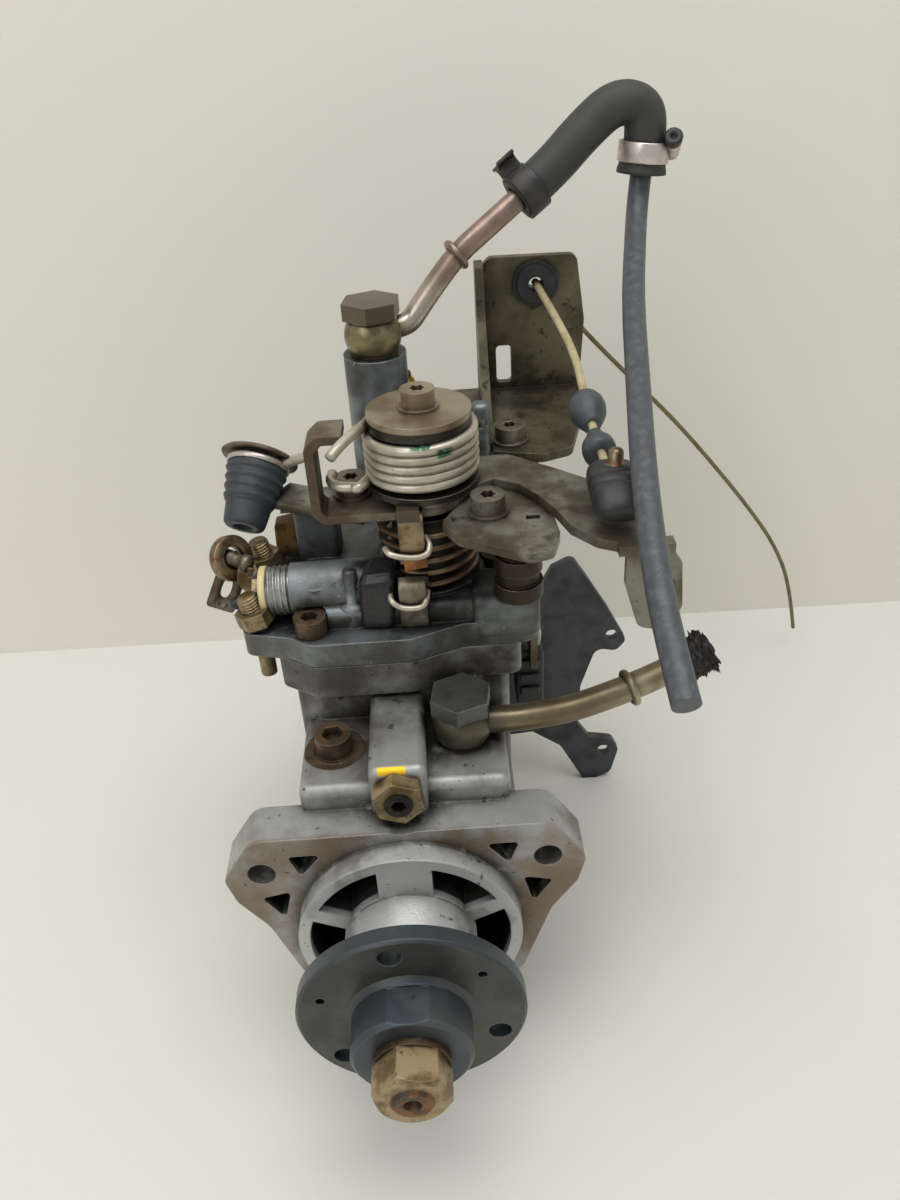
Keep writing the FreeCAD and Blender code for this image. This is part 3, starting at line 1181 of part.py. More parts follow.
def cords():
    finish("hose_remnant", bent_tube("hose_remnant", HOSE_STUB, pipe_r + 2.2, pipe_r + 0.02))
    finish("return_elbow", bent_tube("return_elbow", ELBOW_ROUTE, elbow_r, return_pipe_r + 0.02))
    finish("return_hose", bent_tube("return_hose", HOSE_ROUTE, hose_r, hose_r - 1.9))
    finish("accelerator_cable", bent_tube("accelerator_cable", CABLE_ROUTE, 1.3))
    finish("cable_tail", bent_tube("cable_tail", TAIL_ROUTE, 0.9))
    finish("solenoid_wire", bent_tube("solenoid_wire", WIRE_ROUTE, 1.2))
    clamps = []
    for first, second, offset, width in ((ELBOW_ROUTE[0], ELBOW_ROUTE[1], 0.6, 6.5),
                                         (ELBOW_ROUTE[-1], ELBOW_ROUTE[-2], 0.6, 5.4)):
        line = (V(*second) - V(*first)).normalize()
        at = tuple(V(*first) + line * offset)
        clamps.append(tube(at, tuple(line), elbow_r + 0.9, elbow_r + 0.02, width))
    finish("hose_clamps", group(*clamps))


HOSE_STUB = [(84, 38.8, 60), (90, 40.45, 61.5), (97.5, 43, 64)]
ELBOW_ROUTE = [(48.64, 131.6, 181.1), (59.8, 135.43, 188.73), (70, 138.6, 198.5), (80.5, 140.6, 206.5),
               (89.5, 140.9, 204.5), (90.6, 139.9, 197.0), (89.3, 139.1, 185.0)]
HOSE_ROUTE = [(89.85, 139.44, 190.0), (88.5, 138.6, 177.6), (85.2, 123.5, 166.8), (80.4, 98.9, 156.2),
              (75.6, 63.5, 144.5), (70.9, 30, 134.8), (68.8, 5, 124.3), (68.3, -15, 115.8),
              (69.2, -34, 107.6)]
CABLE_ROUTE = [(65, 50.2, 125.5), (64.5, 63.5, 127), (63.7, 80, 132), (63.9, 105, 138.5), (59.5, 131, 145),
               (56, 151, 149)]
TAIL_ROUTE = [(56, 151.3, 149), (57.5, 159.5, 147), (64.5, 165, 139.5), (75.8, 171, 124.3), (95.5, 177.5, 102),
              (117, 184, 78.8), (137.5, 190, 53.5),
              (156.9, 195, 28.4), (173.9, 199.5, 3.9), (185.9, 203, -22.2), (192.1, 205.5, -50.3)]
WIRE_ROUTE = [(0, 139, 73.5), (1.5, 143.5, 85), (5, 147, 98), (8.5, 145.5, 110), (11, 140.5, 119),
              (8.3, 136, 124), (3.5, 133, 126)]
cords()


# Cable bracket, rear bracket and stop lever

def brackets():
    low = foot_z
    foot_plan = [(33, 97.5), (52, 92), (62, 96), (71, 130), (72, 152), (14, 152), (13, 116), (27, 113)]
    foot = plate("XY", foot_plan, low, sheet_t, {0: 4, 1: 4, 2: 5, 5: 3, 6: 4})
    wall_view = [(36, low), (72, low), (73.5, 135), (70.5, 158), (40, 158.5), (36.5, 155)]
    wall_plate = plate("XZ", wall_view, 150, sheet_t, {3: 3, 4: 3, 5: 2})
    flange_view = [(118, low + sheet_t), (150, low + sheet_t), (150, 158), (144, 157), (138, 140)]
    flange = plate("YZ", flange_view, 34.5, sheet_t)
    slot = rounded(box((41.5, 47), (140, 160), (113, 127)), 1.5)
    hole = rod((56, 140, 149), "Y", 6, 20)
    posts = [rod((x, y, low - 1), "Z", screw_r + 0.2, 8) for x, y in BRACKET_SCREWS]
    notch = box((25, 36.3), (92, 102.8), (low - 2, low + 6))
    finish("cable_bracket", cut(fuse(foot, wall_plate, flange), slot, hole, notch, *posts))
    grommet = cut(fuse(rod((56, 148.4, 149), "Y", 8, 6.2), rod((56, 147.2, 149), "Y", 6.6, 8.8)),
                  cut(rod((56, 150, 149), "Y", 9, sheet_t), rod((56, 149, 149), "Y", 6, sheet_t + 2)),
                  rod((56, 140, 149), "Y", 2.6, 40))
    finish("cable_grommet", grommet)

    plan = [(27, 31), (50, 34), (58, 50), (66, 54), (72, 44), (80, 30), (88, 14), (84, 9), (76, 11),
            (70, -8), (69, -28), (74, -36), (84, -38), (87, -44), (84, -57), (78, -foot_low),
            (72, -foot_low), (62, -40), (50, -31), (27, -33)]
    body = plate("XZ", plan, house_back, bracket_seat,
                 {1: 6, 3: 3, 4: 6, 6: 3, 7: 3, 8: 4, 9: 8, 12: 3, 13: 4, 14: 4, 17: 6})
    eyes = [rod((x, house_back, z), "Y", 8, bracket_seat) for x, z in head_screws_at() if num(x) > 0]
    holes = [rod((x, 100, z), "Y", screw_r + 0.2, 60) for x, z in head_screws_at() if num(x) > 0]
    holes += [rod((82, 100, 17), "Y", 2.4, 40), rod((80.5, 100, -44), "Y", 2.6, 40)]
    finish("rear_bracket", cut(fuse(body, *eyes), rod((0, 100, 0), "Y", head_r + 0.2, 60), *holes))

    pivot_y, pivot_z = 74, 60
    hub = rod((house_right + 4.3, pivot_y, pivot_z), "X", 5, 9)
    ends = []
    for root_z, tip_z in ((pivot_z - 6, 90), (pivot_z + 4, 38)):
        view = [(pivot_y - 4, root_z), (pivot_y + 4, root_z), (pivot_y + 3, tip_z), (pivot_y - 3, tip_z)]
        ends.append(plate("YZ", view, house_right + 9, 2.4, {2: 2.5, 3: 2.5}))
    finish("stop_lever", fuse(hub, *ends))


def governor_spring():
    start, end = spring_ends()
    along = V(*end) - V(*start)
    spring = coil(start, 3.4, 0.6, along.Length / 5, along.Length, tuple(along))
    finish("governor_spring", spring)


def valves():
    sleeve = fuse(rod((-valve_x, valve_y, ledge_top - 15), "Z", 7, 15),
                  rod((-valve_x, valve_y, ledge_top - 1.6), "Z", 9.3, 1.4))
    plug = cut(rod((-valve_x, valve_y, ledge_top - 0.2), "Z", 5.65, 6.5),
               hexagon((-valve_x, valve_y, ledge_top + 3), "Z", 6, 6, 10))
    finish("regulating_valve", fuse(sleeve, plug))


brackets()
valves()
governor_spring()


# Check every object, then write each sub-part

doc.recompute()
bad = [o.Label for o in doc.Objects if "Invalid" in o.State or "Error" in o.State]
for label, item in FINISHED.items():
    shape = item.Shape
    if shape.isNull() or not shape.isValid() or not shape.Solids:
        bad.append(label)
if bad:
    raise RuntimeError("failed objects: " + ", ".join(bad))
for label, item in FINISHED.items():
    item.Shape.exportStep(f"parts/{label}.step")
print(len(FINISHED), "sub-parts written")
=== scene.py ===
import math

import bmesh
import bpy
import numpy as np
from mathutils import Matrix


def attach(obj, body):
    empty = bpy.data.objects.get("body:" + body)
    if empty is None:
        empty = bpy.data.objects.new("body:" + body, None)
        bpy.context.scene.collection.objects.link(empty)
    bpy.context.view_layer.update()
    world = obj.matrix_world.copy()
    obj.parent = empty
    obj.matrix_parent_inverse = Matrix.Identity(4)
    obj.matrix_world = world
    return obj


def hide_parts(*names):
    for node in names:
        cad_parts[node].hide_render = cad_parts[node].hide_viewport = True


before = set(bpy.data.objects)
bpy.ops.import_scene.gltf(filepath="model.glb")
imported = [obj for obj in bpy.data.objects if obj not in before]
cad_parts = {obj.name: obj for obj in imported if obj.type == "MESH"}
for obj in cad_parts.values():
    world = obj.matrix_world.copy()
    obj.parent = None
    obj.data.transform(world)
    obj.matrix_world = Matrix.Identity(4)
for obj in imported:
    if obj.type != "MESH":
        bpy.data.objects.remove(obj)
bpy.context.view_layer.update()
MM = 0.001


# Camera: it stands 0.25 m above the shaft's axis and looks 33.7 degrees down along +Y, rolled a little.
# Its frame is 900 x 1200 with a focal length of 1000 pixels, which is 30 mm on a 36 mm sensor.

camera_at = np.array([18.0, -203.4, 252.9]) * MM
camera_yaw, camera_pitch, camera_roll = np.radians([0.128, 33.672, -3.768])
forward = np.array([math.sin(camera_yaw) * math.cos(camera_pitch),
                    math.cos(camera_yaw) * math.cos(camera_pitch), -math.sin(camera_pitch)])
level = np.array([math.cos(camera_yaw), -math.sin(camera_yaw), 0.0])
overhead = np.cross(level, forward)
right = math.cos(camera_roll) * level + math.sin(camera_roll) * overhead
upward = math.cos(camera_roll) * overhead - math.sin(camera_roll) * level
camera = bpy.data.objects.new("camera", bpy.data.cameras.new("camera"))
bpy.context.scene.collection.objects.link(camera)
camera.data.lens = 30
camera.data.sensor_width = 36
camera.data.clip_start, camera.data.clip_end = 0.01, 20
turn = np.eye(4)
turn[:3, 0], turn[:3, 1], turn[:3, 2], turn[:3, 3] = right, upward, -forward, camera_at
camera.matrix_world = Matrix(turn.tolist())
bpy.context.scene.camera = camera


# Rubber return hose: 7 mm thick, hanging from the elbow hose's end and cut off square.
# It passes over the lever's side and curves towards the front. Black rubber with a grey bloom.

def shade(red, green, blue):
    """A colour as it looks, 0 to 255 a channel, turned into the renderer's linear values."""
    value = np.array([red, green, blue]) / 255
    linear = np.where(value <= 0.04045, value / 12.92, ((value + 0.055) / 1.055) ** 2.4)
    return (*linear.tolist(), 1.0)


def node(tree, kind, values=None, **settings):
    """A new shader node with its settings and the values or links of its named sockets."""
    made = tree.nodes.new("ShaderNode" + kind)
    for key, value in settings.items():
        setattr(made, key, value)
    for key, value in (values or {}).items():
        if isinstance(value, bpy.types.NodeSocket):
            tree.links.new(value, made.inputs[key])
        else:
            made.inputs[key].default_value = value
    return made


def noise(tree, place, scale, detail=5, rough=0.55):
    """Smooth noise, 0 to 1, at so many features to the metre."""
    return node(tree, "TexNoise", {"Vector": place, "Scale": scale, "Detail": detail,
                                   "Roughness": rough}).outputs[0]


def step(tree, value, low, high):
    """0 below the low value, 1 above the high one, smooth between."""
    return node(tree, "MapRange", {"Value": value, "From Min": low, "From Max": high},
                interpolation_type="SMOOTHSTEP").outputs[0]


def maths(tree, operation, first, second=0.0):
    return node(tree, "Math", {0: first, 1: second}, operation=operation).outputs[0]


def times(tree, first, second):
    return maths(tree, "MULTIPLY", first, second)


def rest_of(tree, share):
    """1 less the share."""
    return maths(tree, "SUBTRACT", 1.0, share)


def axes(tree, vector):
    """The x, y and z of a vector."""
    return node(tree, "SeparateXYZ", {0: vector}).outputs


def blend_colour(tree, share, first, second):
    """The first colour, turning into the second with the share."""
    return node(tree, "Mix", {0: share, 6: first, 7: second}, data_type="RGBA").outputs[2]


def finish(name, colour, patch, metallic, rough, patch_scale=60, patch_share=(0.45, 0.6), grain=900,
           grain_depth=0.08, grime_and_shade=(40, 33, 24), grime_and_shade_reach=4, grime_and_shade_share=0.8, edge=None, edge_round=0.35,
           spots=None, spot_scale=300, spot_share=0.62, oil=None, oil_scale=34, oil_share=(0.5, 0.62),
           extra=None):
    """A worn surface: base colour with patches and smears of oil, fine grain in roughness and bump, darkening
    in the corners that ambient occlusion finds, which is grime and painted shade together, other edges where
    the rounded normal leaves the true one, and spots."""
    material = bpy.data.materials.new(name)
    material.use_nodes = True
    tree = material.node_tree
    shader = tree.nodes["Principled BSDF"]
    place = node(tree, "TexCoord").outputs["Object"]
    broad = noise(tree, place, patch_scale)
    fine = noise(tree, place, grain, 3, 0.7)
    base = blend_colour(tree, step(tree, broad, *patch_share), shade(*colour), shade(*patch))
    if oil:
        smear = step(tree, noise(tree, place, oil_scale, 8, 0.68), *oil_share)
        base = blend_colour(tree, times(tree, smear, 0.85), base, shade(*oil))
    if extra:
        base = extra(tree, place, base)
    if spots:
        specks = step(tree, noise(tree, place, spot_scale, 4, 0.6), spot_share, spot_share + 0.05)
        base = blend_colour(tree, times(tree, specks, 0.8), base, shade(*spots))
    rounded = node(tree, "Bevel", {"Radius": edge_round * MM}, samples=4).outputs[0]
    if edge:
        true = node(tree, "NewGeometry").outputs["Normal"]
        turned = node(tree, "VectorMath", {0: rounded, 1: true}, operation="DOT_PRODUCT").outputs["Value"]
        worn = step(tree, rest_of(tree, turned), 0.02, 0.25)
        worn = times(tree, worn, step(tree, fine, 0.3, 0.6))
        base = blend_colour(tree, worn, base, shade(*edge))
    # Ambient occlusion darkens the corners towards the grime colour: grime there, and painted shade as well.
    shut = node(tree, "AmbientOcclusion", {"Distance": grime_and_shade_reach * MM}, samples=4).outputs["AO"]
    grime_and_shade_mask = times(tree, step(tree, rest_of(tree, shut), 0.1, 0.55),
                 step(tree, noise(tree, place, 220), 0.22, 0.5))
    base = blend_colour(tree, times(tree, grime_and_shade_mask, grime_and_shade_share), base, shade(*grime_and_shade))
    tree.links.new(base, shader.inputs["Base Color"])
    shader.inputs["Metallic"].default_value = metallic
    roughness = node(tree, "MapRange", {"Value": maths(tree, "ADD", times(tree, fine, 0.5), broad),
                                        "From Min": 0.4, "From Max": 1.1, "To Min": max(rough - 0.12, 0.05),
                                        "To Max": min(rough + 0.15, 1)}).outputs[0]
    tree.links.new(roughness, shader.inputs["Roughness"])
    bump = node(tree, "Bump", {"Height": fine, "Strength": 1.0, "Distance": grain_depth * MM,
                               "Normal": rounded}).outputs[0]
    tree.links.new(bump, shader.inputs["Normal"])
    return material


def placed(name, data):
    """A new object in the scene, at the origin, that holds the data."""
    piece = bpy.data.objects.new(name, data)
    bpy.context.scene.collection.objects.link(piece)
    return piece


def wear(piece, material):
    """Put one material on a piece, in every slot it has."""
    if not piece.data.materials:
        piece.data.materials.append(material)
    for index in range(len(piece.data.materials)):
        piece.data.materials[index] = material
    return piece


def dress(material, *labels):
    """Put one material on the CAD nodes of these names."""
    for label in labels:
        wear(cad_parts[label], material)


def route_curve(name, route, closeness=24):
    """A NURBS curve of order 3 through the ends of a route in mm."""
    line = bpy.data.curves.new(name, "CURVE")
    line.dimensions = "3D"
    line.resolution_u = closeness
    spline = line.splines.new("NURBS")
    spline.points.add(len(route) - 1)
    spline.points.foreach_set("co", np.c_[np.array(route) * MM, np.ones(len(route))].ravel())
    spline.order_u = 3
    spline.use_endpoint_u = True
    return line


def cord_curve(name, route, radius, material):
    """A round cord along its route, with closed ends."""
    line = route_curve(name, route)
    line.bevel_depth = radius * MM
    line.bevel_resolution = 8
    line.use_fill_caps = True
    return wear(placed(name, line), material)


def centreline(route, closeness=24):
    """Points along a route's curve, as Blender itself makes them from the bare curve."""
    carrier = bpy.data.objects.new("line", route_curve("line", route, closeness))
    mesh = bpy.data.meshes.new_from_object(carrier)
    points = np.zeros(len(mesh.vertices) * 3)
    mesh.vertices.foreach_get("co", points)
    bpy.data.meshes.remove(mesh)
    bpy.data.objects.remove(carrier)
    return points.reshape(-1, 3)


def length_of(points):
    return float(np.linalg.norm(np.diff(points, axis=0), axis=1).sum())


hose_rubber = finish("hose_rubber", (66, 70, 75), (88, 93, 99), 0.0, 0.42, 400, (0.4, 0.75), 2500, 0.03,
    grime_and_shade=(30, 30, 32), spots=(112, 116, 122), spot_scale=900, spot_share=0.66)
hose_route = [(89.85, 139.44, 190.0), (88.5, 138.6, 177.6), (85.2, 123.5, 166.8), (80.4, 98.9, 156.2),
              (75.6, 63.5, 144.5), (70.9, 30, 134.8), (68.8, 5, 124.3), (68.3, -15, 115.8),
              (69.2, -34, 107.6)]
return_hose = cord_curve("return_hose_rubber", hose_route, 3.5, hose_rubber)
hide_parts("return_hose")
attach(return_hose, "pump_body")
length_of(centreline(hose_route))


# Accelerator cable: a cream plastic sleeve from the grommet down to the clip on the lever's ball stud.

sleeve_plastic = finish("sleeve_plastic", (186, 174, 138), (160, 146, 108), 0.0, 0.45, 300, (0.4, 0.7),
    1500, 0.02)
cable_route = [(65, 50.2, 125.5), (64.5, 63.5, 127), (63.7, 80, 132), (63.9, 105, 138.5), (59.5, 131, 145),
               (56, 151, 149)]
cable = cord_curve("accelerator_cable_sleeve", cable_route, 1.3, sleeve_plastic)
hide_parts("accelerator_cable")
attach(cable, "pump_body")


# Cable tail: the bare wire behind the bracket, which springs out to the right and down towards the table.
# Thin steel with a dull greenish lacquer.

tail_lacquer = finish("tail_lacquer", (122, 112, 78), (96, 92, 62), 0.3, 0.5, 200, (0.4, 0.7), 900, 0.02)
tail_route = [(56, 151.3, 149), (57.5, 159.5, 147), (64.5, 165, 139.5), (75.8, 171, 124.3),
              (95.5, 177.5, 102), (117, 184, 78.8), (137.5, 190, 53.5), (156.9, 195, 28.4),
              (173.9, 199.5, 3.9), (185.9, 203, -22.2), (192.1, 205.5, -50.3)]
tail = cord_curve("cable_tail_wire", tail_route, 0.9, tail_lacquer)
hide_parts("cable_tail")
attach(tail, "pump_body")
length_of(centreline(tail_route))


# Solenoid wire: a thin yellow wire that comes up behind the riser and ends in a brown crimp.

yellow_plastic = finish("yellow_plastic", (226, 176, 20), (196, 140, 10), 0.0, 0.35, 500, (0.5, 0.7), 1500,
    0.02)
wire_route = [(0, 139, 73.5), (1.5, 143.5, 85), (5, 147, 98), (8.5, 145.5, 110), (11, 140.5, 119),
              (8.3, 136, 124), (3.5, 133, 126)]
solenoid_wire = cord_curve("solenoid_wire_sleeve", wire_route, 1.2, yellow_plastic)
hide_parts("solenoid_wire")
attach(solenoid_wire, "pump_body")
length_of(centreline(wire_route))


# Table and wall: a pale matt table top that the pump stands on, and the wall behind its far edge.
# The table's far edge runs a little askew, as the photograph has it.

def backdrop(name, corners, colour):
    """A flat matt sheet of one colour. Its back is clear, so that it never stands between the object and a
    camera behind it."""
    mesh = bpy.data.meshes.new(name)
    mesh.from_pydata([tuple(c) for c in corners], [], [(0, 1, 2, 3)])
    piece = placed(name, mesh)
    material = bpy.data.materials.new(name)
    material.use_nodes = True
    tree = material.node_tree
    shader = tree.nodes["Principled BSDF"]
    shader.inputs["Base Color"].default_value = shade(*colour)
    shader.inputs["Roughness"].default_value = 0.9
    behind = node(tree, "NewGeometry").outputs["Backfacing"]
    clear = node(tree, "BsdfTransparent").outputs[0]
    one_sided = node(tree, "MixShader", {0: behind, 1: shader.outputs[0], 2: clear}).outputs[0]
    tree.links.new(one_sided, tree.nodes["Material Output"].inputs["Surface"])
    mesh.materials.append(material)


table_z = -0.0601
table_front, wall_top = -2, 2
edge_left, edge_right = (-2, 0.27), (2, 0.21)
backdrop("table", [(edge_left[0], table_front, table_z), (edge_right[0], table_front, table_z),
    (*edge_right, table_z), (*edge_left, table_z)], (222, 221, 214))
backdrop("wall", [(*edge_left, table_z), (*edge_right, table_z), (*edge_right, wall_top),
    (*edge_left, wall_top)], (232, 229, 220))


# Light: a wide soft panel overhead, a weaker one from the front left, and an even, nearly white room.

def unit(vector):
    """The vector at length 1."""
    return np.array(vector, float) / np.linalg.norm(vector)


def panel(name, at, aim, size, power):
    """A rectangular lamp in metres and watts, turned towards its aim."""
    lamp = bpy.data.lights.new(name, "AREA")
    lamp.shape = "RECTANGLE"
    lamp.size, lamp.size_y = size
    lamp.energy = power
    back = unit(np.array(at) - np.array(aim))
    side_soot_and_shade = unit(np.cross([0, 1, 0.02], back))
    place = np.eye(4)
    place[:3, 0], place[:3, 1], place[:3, 2], place[:3, 3] = side_soot_and_shade, np.cross(back, side_soot_and_shade), back, at
    placed(name, lamp).matrix_world = Matrix(place.tolist())


panel("overhead_panel", (0.1, -0.1, 1.3), (0, 0.05, 0), (1.2, 0.8), 10)
panel("front_panel", (-0.7, -0.9, 0.9), (0, 0.05, 0.05), (0.8, 0.8), 4.5)
world = bpy.data.worlds.new("room")
bpy.context.scene.world = world
world.use_nodes = True
room = world.node_tree.nodes["Background"].inputs
room["Color"].default_value = (1, 0.99, 0.97, 1)
room["Strength"].default_value = 0.45
bpy.context.scene.view_settings.view_transform = "Standard"


# Castings: pump housing, governor cover and timing covers, sand-cast aluminium, grey, its corners darkened
# by oil and by painted shade.
# The flange's face is stained brown by old fuel, and the spigot and nose are turned bright.

def between(tree, value, low, high, soft=0.0005):
    """1 where the value lies between two limits in metres, 0 outside them, soft at both."""
    return times(tree, step(tree, value, low - soft, low + soft),
                 rest_of(tree, step(tree, value, high - soft, high + soft)))


def reach_of(tree, first, second):
    """The distance from an axis, from the two coordinates across it."""
    return maths(tree, "SQRT", maths(tree, "ADD", times(tree, first, first), times(tree, second, second)))


def housing_stain_and_shade(tree, place, base):
    """Soot and painted shade in cloudy patches on the walls from 13 mm back, brown fuel stain on the
    flange's face, bare turned metal ahead of it with its pockets painted near-black as shade, and a dab
    of yellow paint on the governor boss."""
    x, y, z = axes(tree, place)
    cloud = noise(tree, place, 30, 7, 0.65)
    # Darker from 13 mm back in cloudy patches: soot, and painted shade on the walls behind the flange.
    soot_and_shade = times(tree, step(tree, y, 0.013, 0.032), step(tree, cloud, 0.3, 0.6))
    base = blend_colour(tree, times(tree, soot_and_shade, 0.85), base, shade(66, 62, 55))
    face = times(tree, between(tree, y, -0.0005, 0.0008),
                 step(tree, noise(tree, place, 42, 8, 0.62), 0.34, 0.56))
    base = blend_colour(tree, times(tree, face, 0.75), base, shade(124, 104, 82))
    bare = rest_of(tree, step(tree, y, -0.0012, -0.0004))
    wipe = blend_colour(tree, step(tree, noise(tree, place, 55, 6, 0.6), 0.5, 0.7), shade(196, 197, 196),
                        shade(146, 144, 138))
    base = blend_colour(tree, bare, base, wipe)
    # The spigot's pockets painted near-black: painted shade in the recesses.
    ring = between(tree, reach_of(tree, x, z), 0.0172, 0.0313)
    pocket_shade = times(tree, ring, between(tree, y, -0.0045, 0.0135))
    base = blend_colour(tree, times(tree, pocket_shade, 0.93), base, shade(30, 28, 25))
    dab = times(tree, between(tree, x, -0.0055, 0.0025, 0.0002), between(tree, y, 0.0068, 0.009, 0.0002))
    dab = times(tree, dab, step(tree, z, 0.0535, 0.0542))
    return blend_colour(tree, dab, base, shade(236, 190, 26))


spring_axis = np.array([13.1, 68.4])


def cover_soot_shade_and_oil(tree, place, base):
    """Brown soot and painted shade on the cover's upright sides, and black oil round the spring well."""
    x, y, z = axes(tree, place)
    facing = axes(tree, node(tree, "NewGeometry").outputs["Normal"])[2]
    cloud = noise(tree, place, 34, 7, 0.65)
    # Upright faces below 88 to 100 mm are darker than the tops, in cloudy patches: soot, and painted shade
    # where the overhead light falls less.
    side_soot_and_shade = times(tree, rest_of(tree, step(tree, facing, 0.1, 0.5)), step(tree, cloud, 0.32, 0.62))
    side_soot_and_shade = times(tree, side_soot_and_shade, rest_of(tree, step(tree, z, 0.088, 0.1)))
    base = blend_colour(tree, times(tree, side_soot_and_shade, 0.8), base, shade(74, 68, 58))
    off_x = maths(tree, "SUBTRACT", x, spring_axis[0] * MM)
    off_y = maths(tree, "SUBTRACT", y, spring_axis[1] * MM)
    well = rest_of(tree, step(tree, reach_of(tree, off_x, off_y), 0.019, 0.031))
    well = times(tree, well, step(tree, cloud, 0.28, 0.5))
    return blend_colour(tree, times(tree, well, 0.92), base, shade(22, 22, 20))


cast_housing = finish("cast_housing", (164, 165, 163), (118, 116, 110), 0.5, 0.4, 40, (0.42, 0.66), 1400,
    0.14, grime_and_shade=(30, 26, 20), grime_and_shade_reach=8, grime_and_shade_share=0.95, edge=(190, 191, 190), edge_round=0.7,
    spots=(62, 56, 46), spot_scale=300, spot_share=0.64, oil=(58, 54, 46), oil_scale=26,
    oil_share=(0.56, 0.68), extra=housing_stain_and_shade)
cast_cover = finish("cast_cover", (122, 129, 131), (76, 78, 75), 0.5, 0.36, 44, (0.4, 0.6), 1400, 0.14,
    grime_and_shade=(24, 24, 21), grime_and_shade_reach=9, grime_and_shade_share=0.95, edge=(170, 174, 174), edge_round=0.7,
    spots=(166, 168, 164), spot_scale=420, spot_share=0.68, oil=(46, 46, 41), oil_scale=30,
    oil_share=(0.54, 0.66), extra=cover_soot_shade_and_oil)
dress(cast_housing, "pump_housing")
dress(cast_cover, "governor_cover", "timing_covers")


# Turned and ground steel inside the pump, and its head: clean. The shaft's outer end is rusty.

def shaft_end(tree, place, base):
    """The shaft's threaded end, ahead of the hub, is brown with rust."""
    y = axes(tree, place)[1]
    bare = rest_of(tree, step(tree, y, -0.047, -0.045))
    rust = blend_colour(tree, step(tree, noise(tree, place, 380, 5, 0.6), 0.42, 0.6), shade(76, 66, 54),
                        shade(128, 88, 52))
    return blend_colour(tree, bare, base, rust)


ground_steel = finish("ground_steel", (150, 149, 146), (122, 120, 114), 0.85, 0.32, 90, (0.45, 0.65), 1600,
    0.03, grime_and_shade=(40, 34, 26), edge=(190, 190, 188))
dress(ground_steel, "vane_pump_ring", "vane_rotor", "drive_gear", "cam_plate", "plunger", "roller_ring",
    "timing_piston", "governor_cage", "flyweight_1", "flyweight_2", "flyweight_3", "flyweight_4",
    "governor_sleeve", "governor_lever", "control_sleeve", "distributor_head", "throttle_shaft",
    "internal_springs", "governor_spring")
shaft_rust = finish("shaft_rust", (150, 149, 146), (122, 120, 114), 0.7, 0.42, 90, (0.45, 0.65), 1600, 0.05,
    grime_and_shade=(30, 24, 18), extra=shaft_end)
dress(shaft_rust, "drive_shaft")
turned_bronze = finish("turned_bronze", (165, 128, 70), (130, 98, 52), 0.9, 0.35, 120, (0.45, 0.65), 1600,
    0.03)
dress(turned_bronze, "shaft_bush")
seal_rubber = finish("seal_rubber", (34, 34, 35), (44, 44, 45), 0.0, 0.6, 200, (0.4, 0.7), 1500, 0.04)
dress(seal_rubber, "shaft_seal")
gasket_paper = finish("gasket_paper", (66, 64, 58), (48, 47, 42), 0.0, 0.8, 200, (0.4, 0.7), 1500, 0.05)
dress(gasket_paper, "cover_gasket")


# Pulley hub: forged steel with a blue-black oxide on its rim and boss and a mottled, oily brown-grey face.

def hub_face(tree, place, base):
    """The hub's front face is browner than its rim, in cloudy patches."""
    x, y, z = axes(tree, place)
    front = times(tree, between(tree, y, -0.0345, -0.0332), step(tree, reach_of(tree, x, z), 0.017, 0.019))
    mottle = blend_colour(tree, step(tree, noise(tree, place, 48, 7, 0.6), 0.4, 0.62), shade(84, 83, 74),
                          shade(56, 57, 53))
    return blend_colour(tree, times(tree, front, 0.9), base, mottle)


hub_oxide = finish("hub_oxide", (62, 70, 76), (78, 84, 86), 0.55, 0.36, 60, (0.45, 0.68), 1800, 0.05,
    grime_and_shade=(26, 24, 21), grime_and_shade_reach=3, edge=(120, 126, 128), edge_round=0.5, spots=(50, 44, 36),
    spot_scale=300, spot_share=0.7, extra=hub_face)
dress(hub_oxide, "drive_hub")


# Screws, nuts and bolts: yellow zinc worn to a dull gold, or rusty brown where fuel has taken the plating.

gold_zinc = finish("gold_zinc", (164, 144, 112), (116, 96, 66), 0.7, 0.4, 160, (0.42, 0.62), 1500, 0.05,
    grime_and_shade=(36, 28, 18), grime_and_shade_reach=2.5, edge=(200, 184, 148), edge_round=0.4, spots=(70, 52, 32),
    spot_scale=700, spot_share=0.63)
rusty_screw = finish("rusty_screw", (92, 76, 58), (64, 51, 39), 0.5, 0.45, 180, (0.4, 0.62), 1300, 0.07,
    grime_and_shade=(28, 20, 14), grime_and_shade_reach=2.5, edge=(150, 130, 104), edge_round=0.4, spots=(120, 78, 44),
    spot_scale=600, spot_share=0.62)
grey_zinc = finish("grey_zinc", (124, 118, 102), (90, 82, 66), 0.65, 0.4, 150, (0.42, 0.62), 1500, 0.05,
    grime_and_shade=(36, 30, 22), grime_and_shade_reach=2.5, edge=(196, 190, 176), edge_round=0.4, spots=(88, 70, 48),
    spot_scale=600, spot_share=0.64)


def bolt_tones(tree, place, base):
    """The inlet's bolt is dark grey-green, the return's browner."""
    z = axes(tree, place)[2]
    return blend_colour(tree, times(tree, step(tree, z, 0.1, 0.12), 0.8), base, shade(104, 92, 76))


def bush_tones(tree, place, base):
    """The bush stack on the right boss is dark with oil, unlike the gold studs on the left."""
    x = axes(tree, place)[0]
    return blend_colour(tree, step(tree, x, 0.018, 0.022), base, shade(56, 46, 36))


